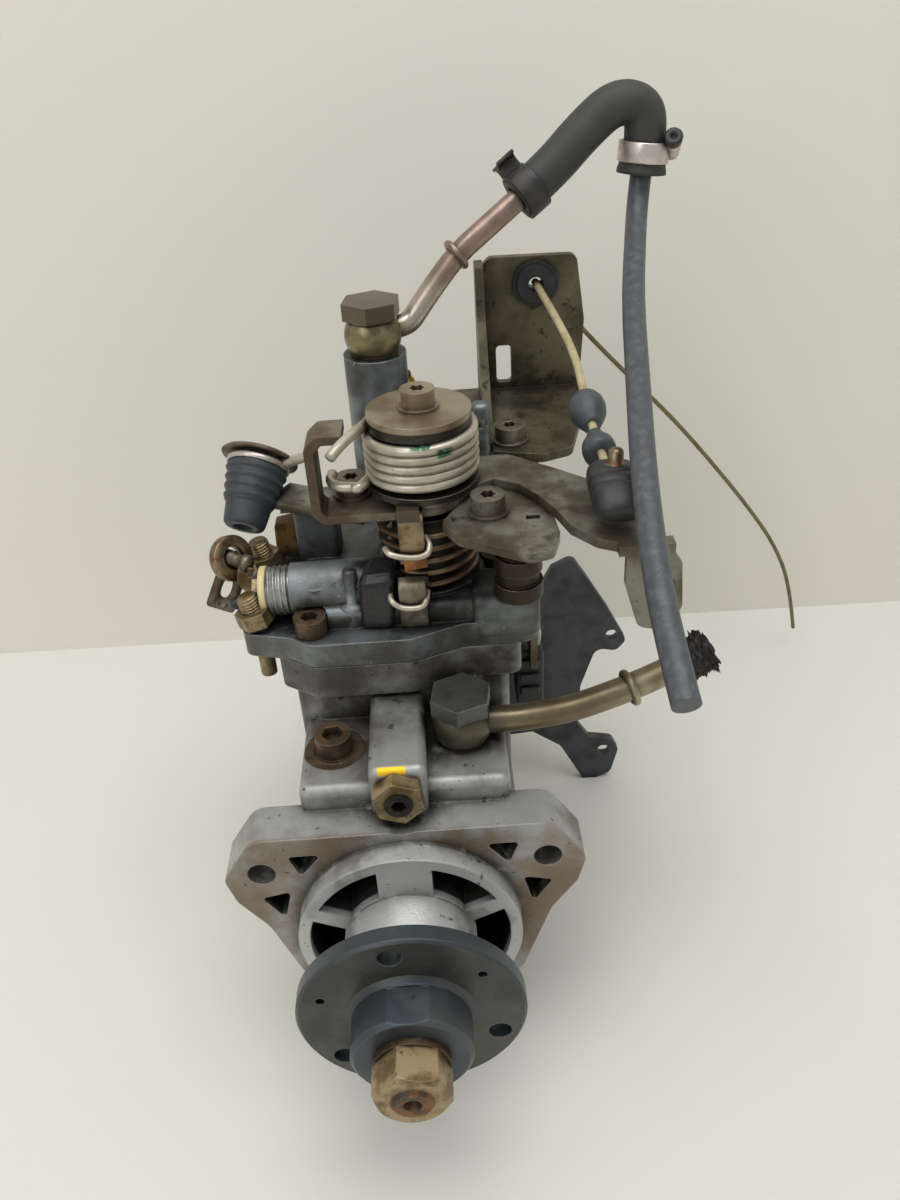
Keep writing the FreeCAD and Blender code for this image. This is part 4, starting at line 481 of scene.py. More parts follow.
banjo_zinc = finish("banjo_zinc", (92, 94, 88), (72, 74, 68), 0.6, 0.36, 90, (0.42, 0.62), 1500, 0.05,
    grime_and_shade=(28, 26, 22), grime_and_shade_reach=2.5, edge=(140, 140, 132), edge_round=0.5, extra=bolt_tones)
stud_zinc = finish("stud_zinc", (150, 134, 100), (108, 92, 66), 0.65, 0.42, 160, (0.42, 0.62), 1500, 0.05,
    grime_and_shade=(34, 27, 18), grime_and_shade_reach=2.5, edge=(190, 176, 144), edge_round=0.4, spots=(70, 52, 32),
    spot_scale=700, spot_share=0.63, extra=bush_tones)
dress(gold_zinc, "hub_nut", "governor_shaft_nut", "fuel_solenoid")
dress(stud_zinc, "adjusters")
dress(banjo_zinc, "banjo_bolts")
dress(rusty_screw, "hub_washer", "cap_screws", "regulating_valve")
dress(grey_zinc, "torx_screws", "outlet_fittings")
black_steel = finish("black_steel", (46, 44, 42), (66, 58, 48), 0.6, 0.45, 150, (0.45, 0.65), 1500, 0.04)
dress(black_steel, "governor_shaft")


# Levers: stamped steel plate whose plating has gone, mottled grey and brown, with rusty edges.

lever_steel = finish("lever_steel", (128, 126, 115), (84, 76, 62), 0.55, 0.42, 60, (0.4, 0.6), 1500, 0.07,
    grime_and_shade=(36, 27, 18), grime_and_shade_reach=3, edge=(126, 92, 64), edge_round=0.35, spots=(92, 66, 44),
    spot_scale=420, spot_share=0.62, oil=(58, 52, 42), oil_scale=52, oil_share=(0.54, 0.66))
rust_lever = finish("rust_lever", (118, 110, 94), (86, 72, 56), 0.5, 0.48, 80, (0.38, 0.6), 1200, 0.08,
    grime_and_shade=(34, 24, 16), grime_and_shade_reach=3, edge=(122, 80, 54), edge_round=0.4, spots=(112, 76, 48),
    spot_scale=380, spot_share=0.62)
dress(lever_steel, "throttle_lever", "stop_plate")
dress(rust_lever, "idle_lever", "stop_lever")


def cap_underside(tree, place, base):
    """Below the cap's top disc the spool is black with oil."""
    low = rest_of(tree, step(tree, axes(tree, place)[2], 0.1372, 0.1378))
    return blend_colour(tree, times(tree, low, 0.92), base, shade(34, 33, 30))


cap_steel = finish("cap_steel", (160, 150, 130), (128, 112, 88), 0.65, 0.34, 48, (0.42, 0.62), 1500, 0.04,
    grime_and_shade=(24, 22, 20), grime_and_shade_reach=2, edge=(190, 182, 166), edge_round=0.3, spots=(98, 80, 58),
    spot_scale=360, spot_share=0.68, extra=cap_underside)
dress(cap_steel, "spring_cap")


# Brackets: yellow-zinc sheet, dull and speckled, and a dark painted plate at the back.

speckled_zinc = finish("speckled_zinc", (106, 100, 80), (80, 74, 56), 0.5, 0.42, 60, (0.4, 0.62), 1500,
    0.06, grime_and_shade=(38, 34, 26), grime_and_shade_reach=5, edge=(150, 144, 126), edge_round=0.35, spots=(46, 40, 30),
    spot_scale=330, spot_share=0.6, oil=(58, 54, 42), oil_scale=40)
dark_plate = finish("dark_plate", (72, 75, 78), (54, 56, 58), 0.35, 0.42, 80, (0.42, 0.64), 1500, 0.05,
    grime_and_shade=(26, 24, 22), grime_and_shade_reach=4, edge=(110, 112, 112), edge_round=0.35)
dress(speckled_zinc, "cable_bracket")
dress(dark_plate, "rear_bracket")
black_plastic = finish("black_plastic", (36, 37, 39), (48, 50, 52), 0.0, 0.45, 150, (0.45, 0.7), 1500, 0.03,
    grime_and_shade=(20, 20, 20), edge=(66, 68, 70), edge_round=0.6)
dress(black_plastic, "cable_grommet")


# Pipes: bent steel tube, zinc with a pink bloom on one, brown with varnish near the other's eye.

def return_bloom(tree, place, base):
    """Olive on the eye, silver with a pink bloom beside it, and brown towards the hose."""
    x, _, z = axes(tree, place)
    base = blend_colour(tree, times(tree, step(tree, z, 0.157, 0.164), 0.9), base, shade(132, 114, 102))
    pink = times(tree, step(tree, noise(tree, place, 110), 0.5, 0.62), 0.35)
    base = blend_colour(tree, pink, base, shade(182, 150, 142))
    eye = rest_of(tree, step(tree, x, 0.007, 0.011))
    olive = blend_colour(tree, step(tree, noise(tree, place, 120, 5, 0.6), 0.42, 0.6), shade(140, 130, 98),
                         shade(98, 92, 68))
    return blend_colour(tree, eye, base, olive)


def inlet_varnish(tree, place, base):
    """Dark varnish on the inlet's eye, brown on the pipe's half next to it."""
    x = axes(tree, place)[0]
    old = rest_of(tree, step(tree, x, 0.058, 0.076))
    base = blend_colour(tree, times(tree, old, 0.8), base, shade(106, 92, 70))
    eye = rest_of(tree, step(tree, x, 0.029, 0.035))
    return blend_colour(tree, times(tree, eye, 0.85), base, shade(84, 82, 70))


return_zinc = finish("return_zinc", (180, 172, 160), (154, 144, 130), 0.75, 0.32, 90, (0.4, 0.65), 1500,
    0.02, grime_and_shade=(50, 40, 30), grime_and_shade_reach=2, extra=return_bloom)
inlet_zinc = finish("inlet_zinc", (160, 152, 128), (126, 114, 90), 0.75, 0.34, 90, (0.4, 0.65), 1500, 0.03,
    grime_and_shade=(40, 34, 26), grime_and_shade_reach=3, extra=inlet_varnish)
dress(return_zinc, "return_pipe")
dress(inlet_zinc, "inlet_pipe")


# Springs: the upper one of bright thick wire, with a tail towards the rusty lever and a hook at its foot.
# The lower one of thin bronze-coloured wire, open wound.

def skin(name, points, closed_along=False, capped=True):
    """A mesh over a grid of points, rows along the piece and columns around it. Where it is capped, a face
    closes each end. Where it is closed along, the last row joins the first."""
    rows, columns = points.shape[:2]
    index = np.arange(rows * columns).reshape(rows, columns)
    along = index if not closed_along else np.vstack([index, index[:1]])
    around = np.hstack([along, along[:, :1]])
    quads = np.stack([around[:-1, :-1], around[:-1, 1:], around[1:, 1:], around[1:, :-1]], -1).reshape(-1, 4)
    faces = quads.tolist()
    if capped and not closed_along:
        faces.append(index[0].tolist()[::-1])
        faces.append(index[-1].tolist())
    mesh = bpy.data.meshes.new(name)
    mesh.from_pydata(points.reshape(-1, 3).tolist(), [], faces)
    mesh.polygons.foreach_set("use_smooth", np.ones(len(faces), bool))
    mesh.update()
    piece = placed(name, mesh)
    mesh.validate()
    return piece


def rounded_square(angle, square):
    """The two coordinates of a superellipse of half size 1 at the given angles."""
    return [np.sign(part) * np.abs(part) ** (2 / square) for part in (np.cos(angle), np.sin(angle))]


def along_path(path, half_width, half_thick, up=(0, 0, 1), sides=20, square=2.0):
    """A grid round a path: at each point a superellipse with the half width along the side direction and
    the half thickness along the other, both across the path's tangent."""
    path = np.asarray(path, float)
    tangent = np.gradient(path, axis=0)
    tangent /= np.linalg.norm(tangent, axis=1)[:, None]
    side_soot_and_shade = np.cross(tangent, np.broadcast_to(np.array(up, float), tangent.shape))
    side_soot_and_shade /= np.linalg.norm(side_soot_and_shade, axis=1)[:, None]
    other = np.cross(side_soot_and_shade, tangent)
    c, s = rounded_square(np.linspace(0, 2 * np.pi, sides, endpoint=False), square)
    wide = np.broadcast_to(np.asarray(half_width, float), (len(path),))[:, None, None]
    thick = np.broadcast_to(np.asarray(half_thick, float), (len(path),))[:, None, None]
    return (path[:, None, :] + wide * c[None, :, None] * side_soot_and_shade[:, None, :]
            + thick * s[None, :, None] * other[:, None, :])


def flowing(points, each):
    """A smooth line through the given points: a Catmull-Rom curve, with so many steps to a span."""
    p = np.asarray(points, float)
    p = np.vstack([2 * p[0] - p[1], p, 2 * p[-1] - p[-2]])
    t = np.linspace(0, 1, each, endpoint=False)[None, :, None]
    a, b, c, d = (p[i:len(p) - 3 + i][:, None, :] for i in range(4))
    curve = 0.5 * (2 * b + (c - a) * t + (2 * a - 5 * b + 4 * c - d) * t ** 2
                   + (3 * b - a - 3 * c + d) * t ** 3)
    return np.vstack([curve.reshape(-1, 3), p[-2]])


def make(name, points, material, body="pump_body", slot=None, replaced=None, **how):
    """A finished piece: its mesh, its material and the body that it rides on."""
    piece = wear(skin(name, points, **how), material)
    if replaced:
        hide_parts(replaced)
    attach(piece, body)
    return piece


def green_marks(tree, place, base):
    """Two smudges of green paint on the front of the upper coils."""
    x, y, z = axes(tree, place)
    for centre, half_x, low, high in ((0.0134, 0.0032, 0.1335, 0.1362), (0.0199, 0.0022, 0.1305, 0.1332)):
        patch = times(tree, between(tree, x, centre - half_x, centre + half_x, 0.0009),
                      between(tree, z, low, high, 0.0004))
        patch = times(tree, patch, rest_of(tree, step(tree, y, 0.054, 0.056)))
        patch = times(tree, patch, step(tree, noise(tree, place, 700, 4, 0.6), 0.36, 0.5))
        base = blend_colour(tree, patch, base, shade(26, 84, 56))
    return base


bright_wire = finish("bright_wire", (196, 188, 172), (168, 158, 140), 0.6, 0.34, 120, (0.4, 0.7), 1500,
    0.03, grime_and_shade=(62, 52, 38), grime_and_shade_reach=2, extra=green_marks)
bronze_wire = finish("bronze_wire", (118, 98, 74), (84, 66, 46), 0.65, 0.36, 120, (0.4, 0.65), 1500, 0.03,
    grime_and_shade=(24, 19, 14), grime_and_shade_reach=3)
wire_up = (0, 0.02, 1)


def coil(mean, start, end, start_turn, turns, points):
    """A coil's centre line round the spring axis in mm, from one height to another. Negative turns run
    clockwise."""
    lap = np.linspace(0, 1, points)
    angle = math.radians(start_turn) + 2 * np.pi * turns * lap
    return np.c_[spring_axis[0] + mean * np.cos(angle), spring_axis[1] + mean * np.sin(angle),
                 start + (end - start) * lap]


upper_wire, lower_wire = 1.6, 1.0
upper_line = coil(15.6, 134.6, 120.2, 160, -5.1, 420)
tail_line = flowing([(-12.2, 50.6, 133.6), (-9.6, 54.6, 135.0), (-7.0, 59.2, 135.6), (-4.4, 64.6, 135.4),
                     (-2.5, 69.8, 134.9)], 10)
hook_line = flowing([upper_line[-1], (-4.6, 61.0, 119.6), (-8.0, 60.0, 119.4), (-12.6, 61.6, 119.3),
                     (-14.4, 65.4, 119.4), (-14.0, 68.6, 120.0)], 10)
upper_path = np.vstack([tail_line, upper_line[2:], hook_line[2:]]) * MM
make("upper_return_spring", along_path(upper_path, upper_wire * MM, upper_wire * MM, up=wire_up, sides=18),
    bright_wire, slot="spring_steel", replaced="upper_spring")
lower_line = coil(14.6, 87.0, 106.0, 200, 4.6, 400)
make("lower_return_spring", along_path(lower_line * MM, lower_wire * MM, lower_wire * MM, up=wire_up,
    sides=16), bronze_wire, slot="bronze_wire", replaced="lower_spring")


# Elbow hose: a moulded rubber hose pushed over the return pipe, arched over and flared at its lower end,
# where a worm clamp holds the small hose. Matt charcoal rubber.

elbow_rubber = finish("elbow_rubber", (52, 52, 51), (64, 64, 62), 0.0, 0.6, 120, (0.4, 0.7), 1800, 0.05,
    grime_and_shade=(26, 26, 26))
elbow_route = [(48.64, 131.6, 181.1), (59.8, 135.43, 188.73), (70, 138.6, 198.5), (80.5, 140.6, 206.5),
               (89.5, 140.9, 204.5), (90.6, 139.9, 197.0), (89.3, 139.1, 185.0)]
elbow_path = centreline(elbow_route, 16)
run = np.r_[0, np.cumsum(np.linalg.norm(np.diff(elbow_path, axis=0), axis=1))] / MM
to_end = run[-1] - run
elbow_r, elbow_wall, elbow_up = 6.6, 2.6, (-0.25, 1, 0.1)
flare = elbow_r + 0.9 * np.clip((9 - to_end) / 3, 0, 1) + 0.5 * np.clip((2.5 - to_end) / 1.5, 0, 1)
bore = flare - elbow_wall
elbow_grid = along_path(elbow_path, flare * MM, flare * MM, up=elbow_up, sides=40)
elbow_bore = along_path(elbow_path, bore * MM, bore * MM, up=elbow_up, sides=40)[::-1]
make("elbow_hose", np.concatenate([elbow_grid, elbow_bore]), elbow_rubber, slot="black_rubber",
    replaced="return_elbow", closed_along=True)


# Boot: ribbed rubber over the left cable's end, open at its narrow end.

def turned(at, line, profile, sides=64):
    """A surface of revolution: the profile's radius and distance, carried round the line from the point."""
    line = unit(line)
    side_soot_and_shade = unit(np.cross(line, [0.0, 0.0, 1.0] if abs(line[2]) < 0.9 else [1.0, 0.0, 0.0]))
    other = np.cross(line, side_soot_and_shade)
    radius, distance = np.array(profile, float).T
    angle = np.linspace(0, 2 * np.pi, sides, endpoint=False)
    out = np.cos(angle)[:, None] * side_soot_and_shade + np.sin(angle)[:, None] * other
    points = (np.array(at, float) + distance[:, None, None] * line + radius[:, None, None] * out[None, :, :])
    return points * MM


def spun(name, at, line, profile, material, sides=64, capped=False, **how):
    """A piece that is a surface of revolution, open at both ends unless it is capped."""
    make(name, turned(at, line, profile, sides), material, capped=capped, **how)


boot_rubber = finish("boot_rubber", (46, 52, 57), (60, 67, 73), 0.0, 0.5, 150, (0.4, 0.7), 1500, 0.05,
    grime_and_shade=(24, 25, 26), grime_and_shade_reach=2.5)
boot_back, boot_line = (-40, 91, 114), (-0.239, -0.717, -0.657)
boot_length = 21.5
along = np.linspace(0, boot_length, 160)
ribs = 0.35 * np.clip(np.cos(2 * np.pi * along / 3.1), -0.5, 1) * (along > 2.5) * (along < 13.5)
body_r = np.interp(along, [0, 3, 9, 13.5, 14.5, 19.5, 20.9, boot_length],
                   [9.6, 9.5, 8.7, 8.0, 7.3, 6.8, 6.5, 5.9])
boot_profile = np.c_[np.r_[0.1, body_r + ribs, 3.2, 3.0, 0.1], np.r_[0, along, boot_length, 17, 16.8]]
spun("cable_boot_rubber", boot_back, boot_line, boot_profile, boot_rubber, slot="black_rubber",
    replaced="cable_boot", capped=True)


# Hose remnant: the stub of the inlet hose, torn off, with its cords frayed into a black tuft.

tuft_rubber = finish("tuft_rubber", (24, 24, 25), (34, 34, 36), 0.0, 0.55, 400, (0.4, 0.7), 1800, 0.1)
pipe_end, stub_end = np.array((84, 38.8, 60)), np.array((97.5, 43, 64))
stub_r, stub_rows, fray = 6.2, 26, 0.16
chance = np.random.default_rng(7)
stub_path = pipe_end + (stub_end - pipe_end) * np.linspace(0.35, 1, stub_rows)[:, None]
stub = along_path(stub_path * MM, stub_r * MM, stub_r * MM, sides=40)
middle = stub.mean(axis=1, keepdims=True)
ragged = np.linspace(0.5, 1, stub_rows)[:, None, None]
stub = middle + (stub - middle) * (1 + fray * chance.standard_normal(stub.shape[:2])[:, :, None] * ragged)
stub[-1] = middle[-1] + (stub[-1] - middle[-1]) * 0.55
make("torn_hose_stub", stub, tuft_rubber, slot="black_rubber", replaced="hose_remnant")


# Hose clamps: a dark spring band with folded ears on the pipe's end, and a bright worm clamp with its screw.

clamp_dark = finish("clamp_dark", (46, 46, 46), (62, 60, 56), 0.3, 0.45, 200, (0.4, 0.65), 1500, 0.03,
    edge=(90, 88, 84))
clamp_bright = finish("clamp_bright", (212, 202, 196), (178, 166, 156), 0.7, 0.3, 200, (0.4, 0.65), 1500,
    0.02, grime_and_shade=(50, 44, 36), grime_and_shade_reach=1.5, edge=(226, 224, 218))
elbow_start, elbow_second = np.array(elbow_route[0]), np.array(elbow_route[1])
dark_line = unit(elbow_second - elbow_start)
band = [(6.75, 0.2), (7.7, 0.2), (7.8, 0.5), (7.8, 7.2), (7.7, 7.5), (6.75, 7.5)]
spun("spring_clamp", elbow_start, dark_line, band, clamp_dark, slot="dark_steel", replaced="hose_clamps",
    closed_along=True)
elbow_end, elbow_before = np.array(elbow_route[-1]), np.array(elbow_route[-2])
bright_line = unit(elbow_before - elbow_end)
worm = [(7.55, 3.4), (8.15, 3.4), (8.25, 3.7), (8.25, 9.2), (8.15, 9.5), (7.0, 9.5)]
spun("worm_clamp", elbow_end, bright_line, worm, clamp_bright, slot="zinc_steel",
    closed_along=True)


# Clamp fittings: the spring band's two folded ears stand up on its left, and the worm clamp has a black
# screw in its housing on the right.

def block(name, corners, material, bevel=0.4):
    """A block on the pump's body: eight corners in mm, four below and four above in the same order round,
    with rounded edges."""
    points = np.array(corners, float) * MM
    lower, upper = list(range(4)), list(range(4, 8))
    quads = [(lower[i], lower[(i + 1) % 4], upper[(i + 1) % 4], upper[i]) for i in range(4)]
    mesh = bpy.data.meshes.new(name)
    mesh.from_pydata(points.tolist(), [], quads + [tuple(lower[::-1]), tuple(upper)])
    piece = placed(name, mesh)
    outward(piece)
    round_off = piece.modifiers.new("round", "BEVEL")
    round_off.width, round_off.segments = bevel * MM, 3
    wear(piece, material)
    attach(piece, "pump_body")


def outward(piece):
    """Turn every face of a closed mesh outwards."""
    shell = bmesh.new()
    shell.from_mesh(piece.data)
    bmesh.ops.recalc_face_normals(shell, faces=shell.faces)
    shell.to_mesh(piece.data)
    shell.free()


def strip(name, line, width, thick, material, face=(0, 0, 1), **how):
    """A flat strip bent along a smooth line in mm: width across it, thickness towards the face direction."""
    points = along_path(flowing(line, 8) * MM, width / 2 * MM, thick / 2 * MM, up=face, sides=24, square=8.0)
    make(name, points, material, **how)


def rod(name, line, radius, material, **how):
    """A round wire or rod along a smooth line in mm."""
    points = along_path(flowing(line, 10) * MM, radius * MM, radius * MM, up=wire_up, sides=16)
    make(name, points, material, **how)


out_of_band = np.array([-0.62, 0.25, 0.74])
out_of_band = unit(out_of_band - dark_line * (out_of_band @ dark_line))
across_band = np.cross(dark_line, out_of_band)
for index, (shift, lean) in enumerate(((-1.6, -1.2), (1.4, 1.0))):
    foot = elbow_start + dark_line * 3.9 + across_band * shift + out_of_band * 7.2
    ear = [foot, foot + out_of_band * 2.6, foot + out_of_band * 4.2 + across_band * lean,
           foot + out_of_band * 4.6 + across_band * lean * 3.2]
    strip(f"spring_clamp_ear_{index + 1}", ear, 6.6, 1.2, clamp_dark, face=across_band, slot="dark_steel")
screw_at = elbow_end + bright_line * 6.2 + np.array([8.6, -1.5, 1.0])
spun("worm_clamp_housing", screw_at - np.array([0.5, 3.5, -2.6]), (0.1, 0.8, -0.6), [(0.05, 0), (2.4, 0),
    (2.7, 0.4), (2.7, 7), (2.2, 7.4), (0.05, 7.4)], clamp_bright, 24, slot="zinc_steel")
spun("worm_clamp_screw", screw_at - np.array([1.0, 6.3, -4.6]), (0.1, 0.8, -0.6), [(0.05, 0.9), (0.8, 0.9),
    (0.9, 0), (2.5, 0), (2.9, 0.4), (2.9, 2.6), (1.6, 3), (1.6, 4.2), (0.05, 4.2)], black_plastic, 24,
    slot="rusty_steel")


# Cable ends: two moulded rubber ferrules on the cream sleeve, and the black clip with two grooves that grips
# the lever's rusty ball stud. The solenoid wire ends in a crimp.

ferrule_rubber = finish("ferrule_rubber", (62, 66, 70), (78, 83, 88), 0.0, 0.45, 200, (0.4, 0.7), 1500,
    0.03, edge=(96, 100, 104), edge_round=0.5)
spun("upper_ferrule", (63.7, 84.5, 132.6), (0.03, -0.955, -0.296), [(1.2, 0), (2.6, 0.2), (4.4, 1.6),
    (5.4, 3.8), (5.7, 6.2), (5.3, 9.0), (4.2, 11.4), (3.2, 12.8), (2.9, 13.8), (1.2, 14)], ferrule_rubber,
    40, slot="black_rubber")
spun("lower_ferrule", (64.3, 67.2, 127.8), (0.03, -0.975, -0.22), [(1.2, 0), (2.4, 0.2), (2.8, 1.6),
    (4.7, 5.2), (5.0, 7.4), (4.8, 9.6), (1.2, 9.9)], ferrule_rubber, 40, slot="black_rubber")
tab_steel = finish("tab_steel", (142, 126, 98), (96, 76, 52), 0.75, 0.34, 130, (0.42, 0.6), 1500, 0.04,
    grime_and_shade=(40, 26, 16), grime_and_shade_reach=3, edge=(196, 180, 150), edge_round=0.35, spots=(118, 74, 44),
    spot_scale=420, spot_share=0.6)
clip_line = flowing([(66.2, 52.4, 121.6), (66.2, 50.0, 123.0), (66.0, 44.0, 124.2), (65.8, 36.0, 124.4),
                     (65.6, 30.4, 123.4), (65.4, 27.6, 121.4)], 12)
clip_run, clip_shares = np.linspace(0, 1, len(clip_line)), [0, 0.08, 0.3, 0.7, 0.92, 1]
clip_wide = np.interp(clip_run, clip_shares, [4.4, 6.0, 7.2, 7.3, 6.0, 4.0])
clip_thick = np.interp(clip_run, clip_shares, [2.6, 3.9, 5.0, 5.2, 4.0, 2.4])
groove_width, groove_depth = 0.018, 0.7
for groove_at in (0.5, 0.62):
    groove = np.exp(-((clip_run - groove_at) / groove_width) ** 2) * groove_depth
    clip_wide, clip_thick = clip_wide - groove, clip_thick - groove
make("ball_clip", along_path(clip_line * MM, clip_wide * MM, clip_thick * MM, sides=48, square=3.0),
    black_plastic, body="throttle", slot="black_plastic", replaced="ball_socket")
spun("ball_stud_end", (66.4, 44.6, 128.2), (0.05, 0.12, 1), [(0.05, 0), (3.3, 0), (3.3, 0.7), (2.2, 1.1),
    (2.1, 4.4), (1.5, 5.2), (0.05, 5.4)], tab_steel, 32, body="throttle", slot="rusty_steel")
crimp_plastic = finish("crimp_plastic", (112, 66, 30), (70, 44, 24), 0.1, 0.45, 500, (0.45, 0.6), 1500, 0.03)
spun("wire_crimp", (9.4, 137.3, 123.2), (-0.75, -0.48, 0.30), [(1.25, 0), (1.75, 0.3), (1.8, 2.6),
    (1.5, 2.9), (1.5, 3.6), (1.8, 3.9), (1.8, 7.2), (1.3, 7.7), (0.05, 7.8)], crimp_plastic, 24,
    slot="yellow_sleeve")


# Threads: rolled crests on the two stop studs and on the cover's plug, with a pale ring at the plug's end.
# The radius follows a triangle wave of the turn angle less the travel over the pitch, so the crests wind.

def threaded(at, line, radius, depth, pitch, length, sides=48, steps_a_turn=10):
    """A screw thread: radius less depth times a triangle wave of (angle / full turn - distance / pitch)."""
    line = unit(line)
    side_soot_and_shade = unit(np.cross(line, [1.0, 0.0, 0.0] if abs(line[0]) < 0.9 else [0.0, 1.0, 0.0]))
    other = np.cross(line, side_soot_and_shade)
    distance = np.linspace(0, length, int(length / pitch * steps_a_turn))[:, None]
    angle = np.linspace(0, 2 * np.pi, sides, endpoint=False)[None, :]
    phase = (distance / pitch - angle / (2 * np.pi)) % 1.0
    ramp = np.clip(np.minimum(distance, length - distance) / (pitch * 0.8), 0, 1)
    reach = radius - depth * np.abs(2 * phase - 1) * ramp - depth * (1 - ramp)
    return (np.array(at, float) + distance[..., None] * line
            + reach[..., None] * (np.cos(angle)[..., None] * side_soot_and_shade + np.sin(angle)[..., None] * other)) * MM


plug_zinc = finish("plug_zinc", (176, 178, 176), (130, 130, 126), 0.8, 0.36, 160, (0.42, 0.65), 1500, 0.03,
    grime_and_shade=(34, 32, 28), grime_and_shade_reach=1.2, grime_and_shade_share=0.95)
stud_lean = np.array((-0.196, 0, 0.981))
for index, stud_at in enumerate(((-41, 52.5, 77.6), (-40, 78, 82.2))):
    make(f"stop_stud_thread_{index + 1}", threaded(np.array(stud_at) + stud_lean * 5.2, stud_lean, 3.35,
        0.5, 1.0, 6.2), gold_zinc, slot="gold_steel")
make("plug_thread", threaded((-37.6, 59, 86), (1, 0, 0), 7.9, 0.62, 1.75, 7.8), plug_zinc, slot="zinc_steel")
ring_plastic = finish("ring_plastic", (214, 200, 150), (190, 172, 116), 0.0, 0.4, 200, (0.4, 0.7), 1500,
    0.02, grime_and_shade=(120, 100, 60), grime_and_shade_reach=2)
spun("plug_ring", (-39.6, 59, 86), (1, 0, 0), [(5.4, 0), (7.6, 0), (7.9, 0.3), (7.9, 1.9), (7.6, 2.2),
    (5.4, 2.2)], ring_plastic, slot="cream_sleeve", closed_along=True)


# Spring anchors: a bent tab on the throttle plate and a tab on the cover, each with a bright wire hook.
# The hooks are the lower spring's two ends.

copper_tail = finish("copper_tail", (168, 112, 66), (120, 76, 44), 0.75, 0.36, 160, (0.42, 0.62), 1500, 0.03)
strip("throttle_tab", [(8.6, 57, 113.2), (8.6, 52.4, 113.4), (8.6, 50.0, 112.0), (8.6, 49.2, 109.0),
    (8.6, 49.0, 104.0), (8.6, 49.2, 100.6)], 7.4, 2.0, tab_steel, face=(0, -1, 0.3), body="throttle",
    slot="rusty_steel")
strip("throttle_tab_tail", [(9.0, 49.4, 101.5), (9.2, 48.9, 98.6), (9.4, 48.6, 97.0)], 7.0, 1.8,
    copper_tail, face=(0, -1, 0.3), body="throttle", slot="rusty_steel")
rod("upper_hook", [(0.4, 50.5, 103.4), (1.8, 47.6, 103.2), (5.0, 46.9, 102.3), (9.6, 46.8, 101.8),
    (12.8, 47.4, 102.6), (13.5, 49.4, 104.2), (12.4, 52.4, 105.6)], 0.95, bright_wire, body="throttle",
    slot="spring_steel")
strip("cover_tab", [(7.5, 47.6, 77.5), (7.5, 46.9, 83), (7.5, 47.0, 88.4), (7.5, 47.8, 91.2),
    (7.5, 50.4, 92.4)], 8.4, 2.4, grey_zinc, face=(0, -1, 0.2), slot="zinc_steel")
rod("lower_hook", [(0.6, 48.4, 88.8), (1.3, 45.6, 87.8), (3.6, 44.7, 86.2), (6.6, 44.5, 85.6),
    (9.8, 44.7, 85.8), (11.4, 45.6, 87.2), (12.0, 50.0, 88.0)], 0.9, bright_wire, slot="spring_steel")


# Cover's small fittings: a stepped pin, and beside it a black rubber cap that has gone shiny with oil.

oiled_rubber = finish("oiled_rubber", (22, 23, 25), (32, 34, 36), 0.0, 0.3, 150, (0.4, 0.7), 1200, 0.05)
spun("stepped_pin", (-11.2, 53, 76.5), (0, 0, 1), [(5.2, 0), (4.9, 7.2), (4.2, 7.8), (2.9, 8.2), (2.7, 13),
    (2.2, 13.6), (2.2, 18.4), (1.8, 19), (0.05, 19.1)], cast_cover, 32, slot="cast_alloy")
block("oiled_cap", [(-9.4, 46.4, 77), (1.2, 45.6, 77), (3.4, 58, 77), (-7.2, 59, 77), (-9.0, 48.4, 93.6),
    (2.0, 47.6, 95.0), (4.0, 57.4, 97.0), (-6.4, 58.4, 96.4)], oiled_rubber, bevel=2.6)


# Cable boot's fittings: the pressed ring and the disc at the boot's mouth, and the bright rod that leaves it.
# Behind stand a brown packing block and a flat arm. A bent arm carries the cable's eye with its bolt and
# slotted plate, and a bolt stands on the rusty lever's curl.

boot_centre, boot_way = np.array(boot_back, float), unit(boot_line)
spun("boot_ring", boot_centre - boot_way * 0.6, boot_way, [(9.2, 0), (9.9, 0), (10.15, 0.3), (10.15, 1.6),
    (9.9, 1.9), (9.2, 1.9)], clamp_bright, slot="zinc_steel", closed_along=True)
rod("boot_rod", [(-34.5, 89.5, 113.4), (-30.5, 87.5, 115.6), (-26.0, 86.2, 117.4), (-21.5, 85.0, 119.0)],
    1.7, bright_wire, slot="zinc_steel")
packing = finish("packing", (138, 106, 58), (104, 78, 42), 0.0, 0.7, 140, (0.42, 0.62), 1200, 0.12,
    grime_and_shade=(52, 38, 22), grime_and_shade_reach=4, spots=(84, 60, 32), spot_scale=360, spot_share=0.58)
block("packing_block", [(-38.5, 86.5, 79), (-29.2, 86.5, 79), (-29.2, 95, 79), (-38.5, 95, 79),
    (-37.8, 87.2, 93.2), (-30.4, 86.8, 94.4), (-29.6, 95, 94.4), (-38, 95, 92.8)], packing,
    bevel=0.8)
strip("rest_arm", [(-34.4, 88.2, 104.0), (-27.5, 84.5, 104.0), (-17.0, 78.5, 104.0), (-4.0, 73.0, 104.0)],
    14, 3, lever_steel, slot="zinc_steel")
eye_at, eye_line = np.array([-49.0, 67.9, 93.4]), (0.72, -0.58, 0.37)
spun("cable_eye", eye_at - np.array(eye_line) * 1.7, eye_line, [(3.7, 0.2), (3.9, 0), (6.9, 0), (7.3, 0.4),
    (7.3, 3.0), (6.9, 3.4), (3.9, 3.4), (3.7, 3.2)], tab_steel, slot="rusty_steel",
    replaced="cable_clamp", closed_along=True)
spun("eye_bolt", eye_at - np.array([2.4, -1.0, 0]), (0.92, -0.36, -0.16), [(0.05, 0), (2.6, 0), (2.9, 0.4),
    (2.9, 3.2), (2.3, 3.6), (2.3, 6.4), (2.9, 6.8), (2.9, 9), (0.05, 9.2)], grey_zinc, 24,
    slot="zinc_steel")
plate_at, plate_face = np.array([-52.4, 67.5, 82.6]), np.array([0.21, -0.86, 0.47])
